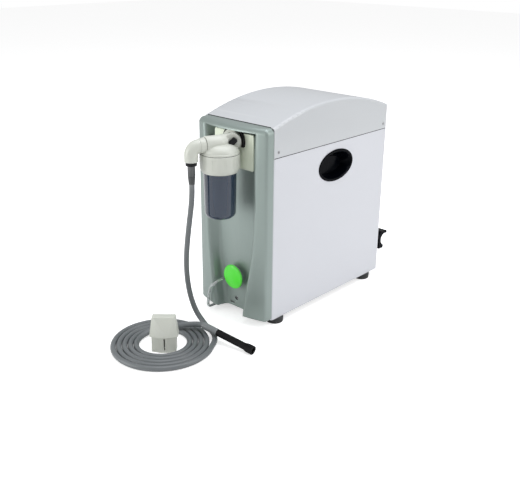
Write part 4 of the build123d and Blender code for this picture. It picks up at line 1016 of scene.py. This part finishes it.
    def cuff(self) -> None:
        """Turn the strain relief with its grip rings."""
        mouth, base, body = self.cuff_radii
        gain, reach = self.cuff_slope
        flat, foot, groove = self.cuff_ring_levels
        profile = [(self.cuff_bore, CUFF_LOW), (mouth, CUFF_LOW)]
        for step in range(self.cuff_rings):
            rise = self.cuff_ring_start + self.cuff_ring_pitch * step
            low, wide = CUFF_LOW + rise, base + gain * rise / reach
            slim = wide - self.cuff_ring_depth
            profile += [(wide, low), (wide, low + flat), (slim, low + foot), (slim, low + groove)]
        profile += [
            (body, CUFF_LOW + self.cuff_grip), (body, self.cuff_top),
            (self.cuff_bore, self.cuff_top),
        ]
        centre = spot(ELBOW_X, ELBOW_Y, 0)
        mesh = turned(profile, centre, UP, "hose_cuff", self.fine_sides // 2)
        piece = self.bench.link("hose_cuff_ribbed", mesh)
        self.bench.dress(piece, GREY_RUBBER, Body.CASE.value, ["hose_cuff"])


@dataclass
class RearFittings:
    """Cord cleat, mains inlet and outlet on the rear."""

    bench: Bench

    def build(self) -> None:
        """Dress the rear fittings."""
        self.bench.refine("cord_cleat", GRIP_BLACK, edge=0.8, sharp=35, steps=3)
        self.bench.refine("cleat_screws", STEEL, edge=0.2)
        self.bench.refine("mains_inlet", BLACK_RUBBER, edge=0.4)
        self.bench.refine("outlet_spigot", BLACK_GLOSS, edge=0.3)


@dataclass
class Works:
    """The vacuum motor, its ducts and its electrics, inside the case."""

    bench: Bench

    def build(self) -> None:
        """Give the inner pieces their finishes."""
        for node, finish in (
            ("motor_dampers", BLACK_RUBBER), ("intake_plenum", BLACK_GLOSS),
            ("blower_housing", MOTOR_METAL), ("impeller", MOTOR_METAL),
            ("motor_frame", MOTOR_METAL), ("field_core", IRON), ("armature", IRON),
            ("cooling_fan", BLACK_GLOSS), ("silencer_box", BLACK_RUBBER),
            ("suction_duct", BLACK_RUBBER), ("relay_box", BLACK_GLOSS),
        ):
            self.bench.paint(node, finish)


@dataclass
class SuctionHose:
    """The hose from the strainer's elbow through the coil to the handpiece."""

    bench: Bench
    length: float = 2.995
    steps_per_half_turn: int = 8
    lead_before_coil: float = 36.0
    out: Vector = field(init=False)
    along: Vector = field(init=False)
    centres: list[Vector] = field(init=False)
    entry: Vector = field(init=False)
    exit: Vector = field(init=False)

    def __post_init__(self) -> None:
        """Work out the coil's frame."""
        turn = math.radians(COIL_START)
        self.out = Vector((math.cos(turn), math.sin(turn), 0))
        self.along = Vector((math.sin(turn), -math.cos(turn), 0))
        first = spot(COIL_CENTRE[0], COIL_CENTRE[1], FLOOR_LINE)
        self.centres = [first, first - self.out * (COIL_PITCH / 2 * MM)]
        self.entry = first + self.out * (COIL_OUTER * MM)
        inner = COIL_OUTER - (COIL_HALF_TURNS - 1) * COIL_PITCH / 2
        self.exit = first - self.out * (inner * MM)

    def drop(self) -> list[Vector]:
        """Work out the hanging run and the floor run.

        Returns:
            The route's points, from the elbow to the coil.
        """
        return [
            spot(ELBOW_X, ELBOW_Y, CUFF_LOW), spot(ELBOW_X, ELBOW_Y, 304),
            spot(-21.3, -126.0, 270), spot(-26.4, -128.4, 231), spot(-32.7, -129.2, 190),
            spot(-38.8, -127.8, 150), spot(-43.4, -123.4, 110), spot(-45.3, -117.0, 72),
            spot(-41.7, -110.8, 38), spot(-32.7, -106.7, 14), spot(-17.3, -104.8, -1.8),
            spot(3.1, -108.2, FLOOR_LINE), spot(24.3, -114.5, FLOOR_LINE),
            spot(46.5, -125.0, FLOOR_LINE),
            self.entry - self.along * (self.lead_before_coil * MM),
            self.entry - self.along * (COIL_LEAD * MM),
        ]

    def coil(self) -> list[Vector]:
        """Work out the control points of the coil's half turns.

        Returns:
            The points, in the hose's order.
        """
        arcs = [
            (self.centres[index % 2], COIL_OUTER - index * COIL_PITCH / 2, index % 2)
            for index in range(COIL_HALF_TURNS)
        ]
        pull = math.cos(math.radians(90 / self.steps_per_half_turn))
        points = []
        for centre, radius, flipped in arcs:
            for step in range(self.steps_per_half_turn):
                share = flipped + (step + 0.5) / self.steps_per_half_turn
                turn = math.radians(COIL_START - 180 * share)
                reach = radius / pull * MM
                points.append(centre + Vector((math.cos(turn), math.sin(turn), 0)) * reach)
        return points

    def tail(self, way: Vector, sleeve: Vector) -> list[Vector]:
        """Work out the climb over the coil to the handpiece.

        Args:
            way: The handpiece's direction.
            sleeve: Where the handpiece's sleeve starts.

        Returns:
            The route's points.
        """
        start = self.exit - self.along * (COIL_EXIT_LEAD * MM)
        return [
            start, spot(-65.1, -248.8, -9.6), spot(-67.9, -233.0, -8.0), spot(-65.1, -217.3, -5.0),
            spot(-57.6, -203.1, -1.0), sleeve - way * (15.8 * MM), sleeve,
        ]

    def build(self, way: Vector, sleeve: Vector, carried: Sequence[bpy.types.Object]) -> None:
        """Lay the hose as one smooth spline.

        Args:
            way: The handpiece's direction.
            sleeve: Where the handpiece's sleeve starts.
            carried: The pieces on the hose; not used.
        """
        points = self.drop() + self.coil() + self.tail(way, sleeve)
        curve = bpy.data.curves.new("suction_hose", "CURVE")
        curve.dimensions = "3D"
        line = curve.splines.new("NURBS")
        line.points.add(len(points) - 1)
        for held, point in zip(line.points, points):
            held.co = (*point, 1.0)
        line.order_u = 3
        line.use_endpoint_u = True
        line.resolution_u = 6
        curve.bevel_depth = HOSE_RADIUS * MM
        curve.bevel_resolution = 7
        curve.use_fill_caps = True
        hose = bpy.data.objects.new("suction_hose", curve)
        bpy.context.scene.collection.objects.link(hose)
        curve.materials.append(HOSE_GREY.material())
        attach(hose, Body.CASE.value)
        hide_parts("hose_drop", "hose_coil", "hose_tail")
        tuple(points[0])


@dataclass
class Handpiece:
    """The handpiece at the hose's end, with its sleeve and tip collar."""

    bench: Bench
    start: Vector = field(default_factory=lambda: spot(63.5, -132.0, 5.6))
    tip_spot: tuple[float, float] = (161.5, -121.0)
    sleeve_length: float = 41.0
    collar_radius: float = 10.0
    way: Vector = field(init=False)
    sleeve: Vector = field(init=False)

    def __post_init__(self) -> None:
        """Work out the handpiece's line from its start to its tip on the floor."""
        tip_x, tip_y = self.tip_spot[0] * MM, (FRONT_Y + self.tip_spot[1]) * MM
        run = math.hypot(tip_x - self.start.x, tip_y - self.start.y)
        tilt = math.atan2(self.start.z - self.collar_radius * MM, run)
        tip = Vector((tip_x, tip_y, self.collar_radius * MM * math.cos(tilt)))
        self.way = (tip - self.start).normalized()
        self.sleeve = self.start - self.way * (self.sleeve_length * MM)

    def build(self) -> list[bpy.types.Object]:
        """Dress the handpiece.

        Returns:
            The pieces that the hose carries.
        """
        refine = self.bench.refine
        return [
            refine("handpiece_sleeve", SLEEVE_GREY, edge=0.3),
            refine("handpiece", BLACK_RUBBER, edge=0.3),
            refine("tip_collar", BLACK_RUBBER, edge=0.3),
        ]


@dataclass
class HoseHolder:
    """The cream holder block that stands in the coil."""

    bench: Bench

    def build(self) -> bpy.types.Object:
        """Dress the holder and return it."""
        return self.bench.refine("hose_holder", CREAM, edge=1.0, sharp=30, steps=3)


@dataclass(frozen=True)
class Lamp:
    """One soft lamp of the studio."""

    name: str
    place: tuple[float, float, float]
    aim: tuple[float, float, float]
    size: float
    power: float
    colour: tuple[float, float, float] = (1, 1, 1)

    def build(self) -> None:
        """Put the lamp in its place, turned to its aim."""
        data = bpy.data.lights.new(self.name, "AREA")
        data.size, data.energy, data.color = self.size, self.power, self.colour
        lamp = bpy.data.objects.new(self.name, data)
        bpy.context.scene.collection.objects.link(lamp)
        way = (Vector(self.aim) - Vector(self.place)).normalized()
        turn = way.to_track_quat("-Z", "Y").to_matrix()
        lamp.matrix_world = Matrix.Translation(self.place) @ turn.to_4x4()


LAMPS = (
    Lamp("key_lamp", (2.5, 1.1, 1.6), (0, 0, 0.2), 1.8, 32),
    Lamp("front_lamp", (-1.2, -2.3, 0.8), (0, 0, 0.25), 1.6, 30),
    Lamp("top_lamp", (0.2, 0.3, 2.8), (0, 0, 0.3), 2.4, 49, (0.97, 0.98, 1.04)),
)


@dataclass
class Studio:
    """Floor, lamps, world and the camera of the photograph."""

    place: tuple[float, float, float] = (1.1213, -1.31247, 0.8168)
    azimuth: float = 42.65
    elevation: float = 21.63
    roll: float = 0.47
    lens: float = 51.45
    sensor: float = 36.0
    surround: float = 0.43
    floor_half: float = 9.0
    floor_tone: float = 0.9
    floor_glow: float = 0.56

    def camera(self) -> None:
        """Set the camera."""
        a, e, t = (math.radians(v) for v in (self.azimuth, self.elevation, self.roll))
        back = Vector((math.sin(a) * math.cos(e), -math.cos(a) * math.cos(e), math.sin(e)))
        right = Vector((math.cos(a), math.sin(a), 0))
        up = back.cross(right)
        turned_right = math.cos(t) * right + math.sin(t) * up
        turned_up = -math.sin(t) * right + math.cos(t) * up
        data = bpy.data.cameras.new("camera")
        data.lens = self.lens
        data.sensor_width = self.sensor
        data.clip_start, data.clip_end = 0.05, 60.0
        camera = bpy.data.objects.new("camera", data)
        bpy.context.scene.collection.objects.link(camera)
        spin = Matrix((turned_right, turned_up, back)).transposed()
        camera.matrix_world = Matrix.Translation(self.place) @ spin.to_4x4()
        bpy.context.scene.camera = camera

    def world(self) -> None:
        """Make a soft grey surround that looks white to the camera and through clear pieces."""
        world = bpy.data.worlds.new("surround")
        world.use_nodes = True
        tree, white = world.node_tree, (1, 1, 1, 1)
        light = tree.nodes["Background"]
        light.inputs["Color"].default_value = white
        light.inputs["Strength"].default_value = self.surround
        shown = add_node(tree, "ShaderNodeBackground", {"Color": white})
        ray = tree.nodes.new("ShaderNodeLightPath").outputs
        seen = add_node(
            tree, "ShaderNodeMath",
            {0: ray["Is Camera Ray"], 1: ray["Is Transmission Ray"]}, "MAXIMUM",
        )
        blend = add_node(
            tree, "ShaderNodeMixShader",
            {0: seen.outputs[0], 1: light.outputs[0], 2: shown.outputs[0]},
        )
        tree.links.new(blend.outputs[0], tree.nodes["World Output"].inputs["Surface"])
        bpy.context.scene.world = world

    def floor(self) -> None:
        """Lay the pale floor, with a glow that only the camera sees."""
        half, tone = self.floor_half, self.floor_tone
        ends = ((-half, -half), (half, -half), (half, half), (-half, half))
        corners = [Vector((x, y, 0)) for x, y in ends]
        piece = bpy.data.objects.new("floor", mesh_from(corners, [(0, 1, 2, 3)], "floor"))
        bpy.context.scene.collection.objects.link(piece)
        made = bpy.data.materials.new("floor_white")
        made.use_nodes = True
        tree = made.node_tree
        shader = tree.nodes["Principled BSDF"]
        shader.inputs["Base Color"].default_value = (tone, tone, tone, 1)
        shader.inputs["Roughness"].default_value = 0.9
        shader.inputs["Specular IOR Level"].default_value = 0.1
        glow = add_node(tree, "ShaderNodeEmission", {"Strength": self.floor_glow})
        ray = tree.nodes.new("ShaderNodeLightPath").outputs
        pick = add_node(tree, "ShaderNodeMixShader", {0: ray["Is Camera Ray"], 2: glow.outputs[0]})
        total = add_node(tree, "ShaderNodeAddShader", {0: shader.outputs[0], 1: pick.outputs[0]})
        tree.links.new(total.outputs[0], tree.nodes["Material Output"].inputs["Surface"])
        piece.data.materials.append(made)

    def build(self) -> None:
        """Set up the studio."""
        self.camera()
        self.world()
        self.floor()
        for lamp in LAMPS:
            lamp.build()
        bpy.context.scene.view_settings.view_transform = "Standard"


def main() -> None:
    """Build the studio and every sub-assembly in order."""
    logging.basicConfig(level=logging.INFO, format="%(message)s")
    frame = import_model()
    Studio().build()
    bench = Bench(frame)
    pattern = Pattern("pieces_on_points")
    handpiece = Handpiece(bench)
    carried = handpiece.build()
    carried.append(HoseHolder(bench).build())
    Strainer(bench).build()
    carried.append(bpy.data.objects["hose_cuff_ribbed"])
    SuctionHose(bench).build(handpiece.way, handpiece.sleeve, carried)
    Casing(bench, pattern).build()
    FrontPanel(bench).build()
    PushButton(bench).build()
    RearFittings(bench).build()
    Works(bench).build()


if __name__ == "__main__":
    main()
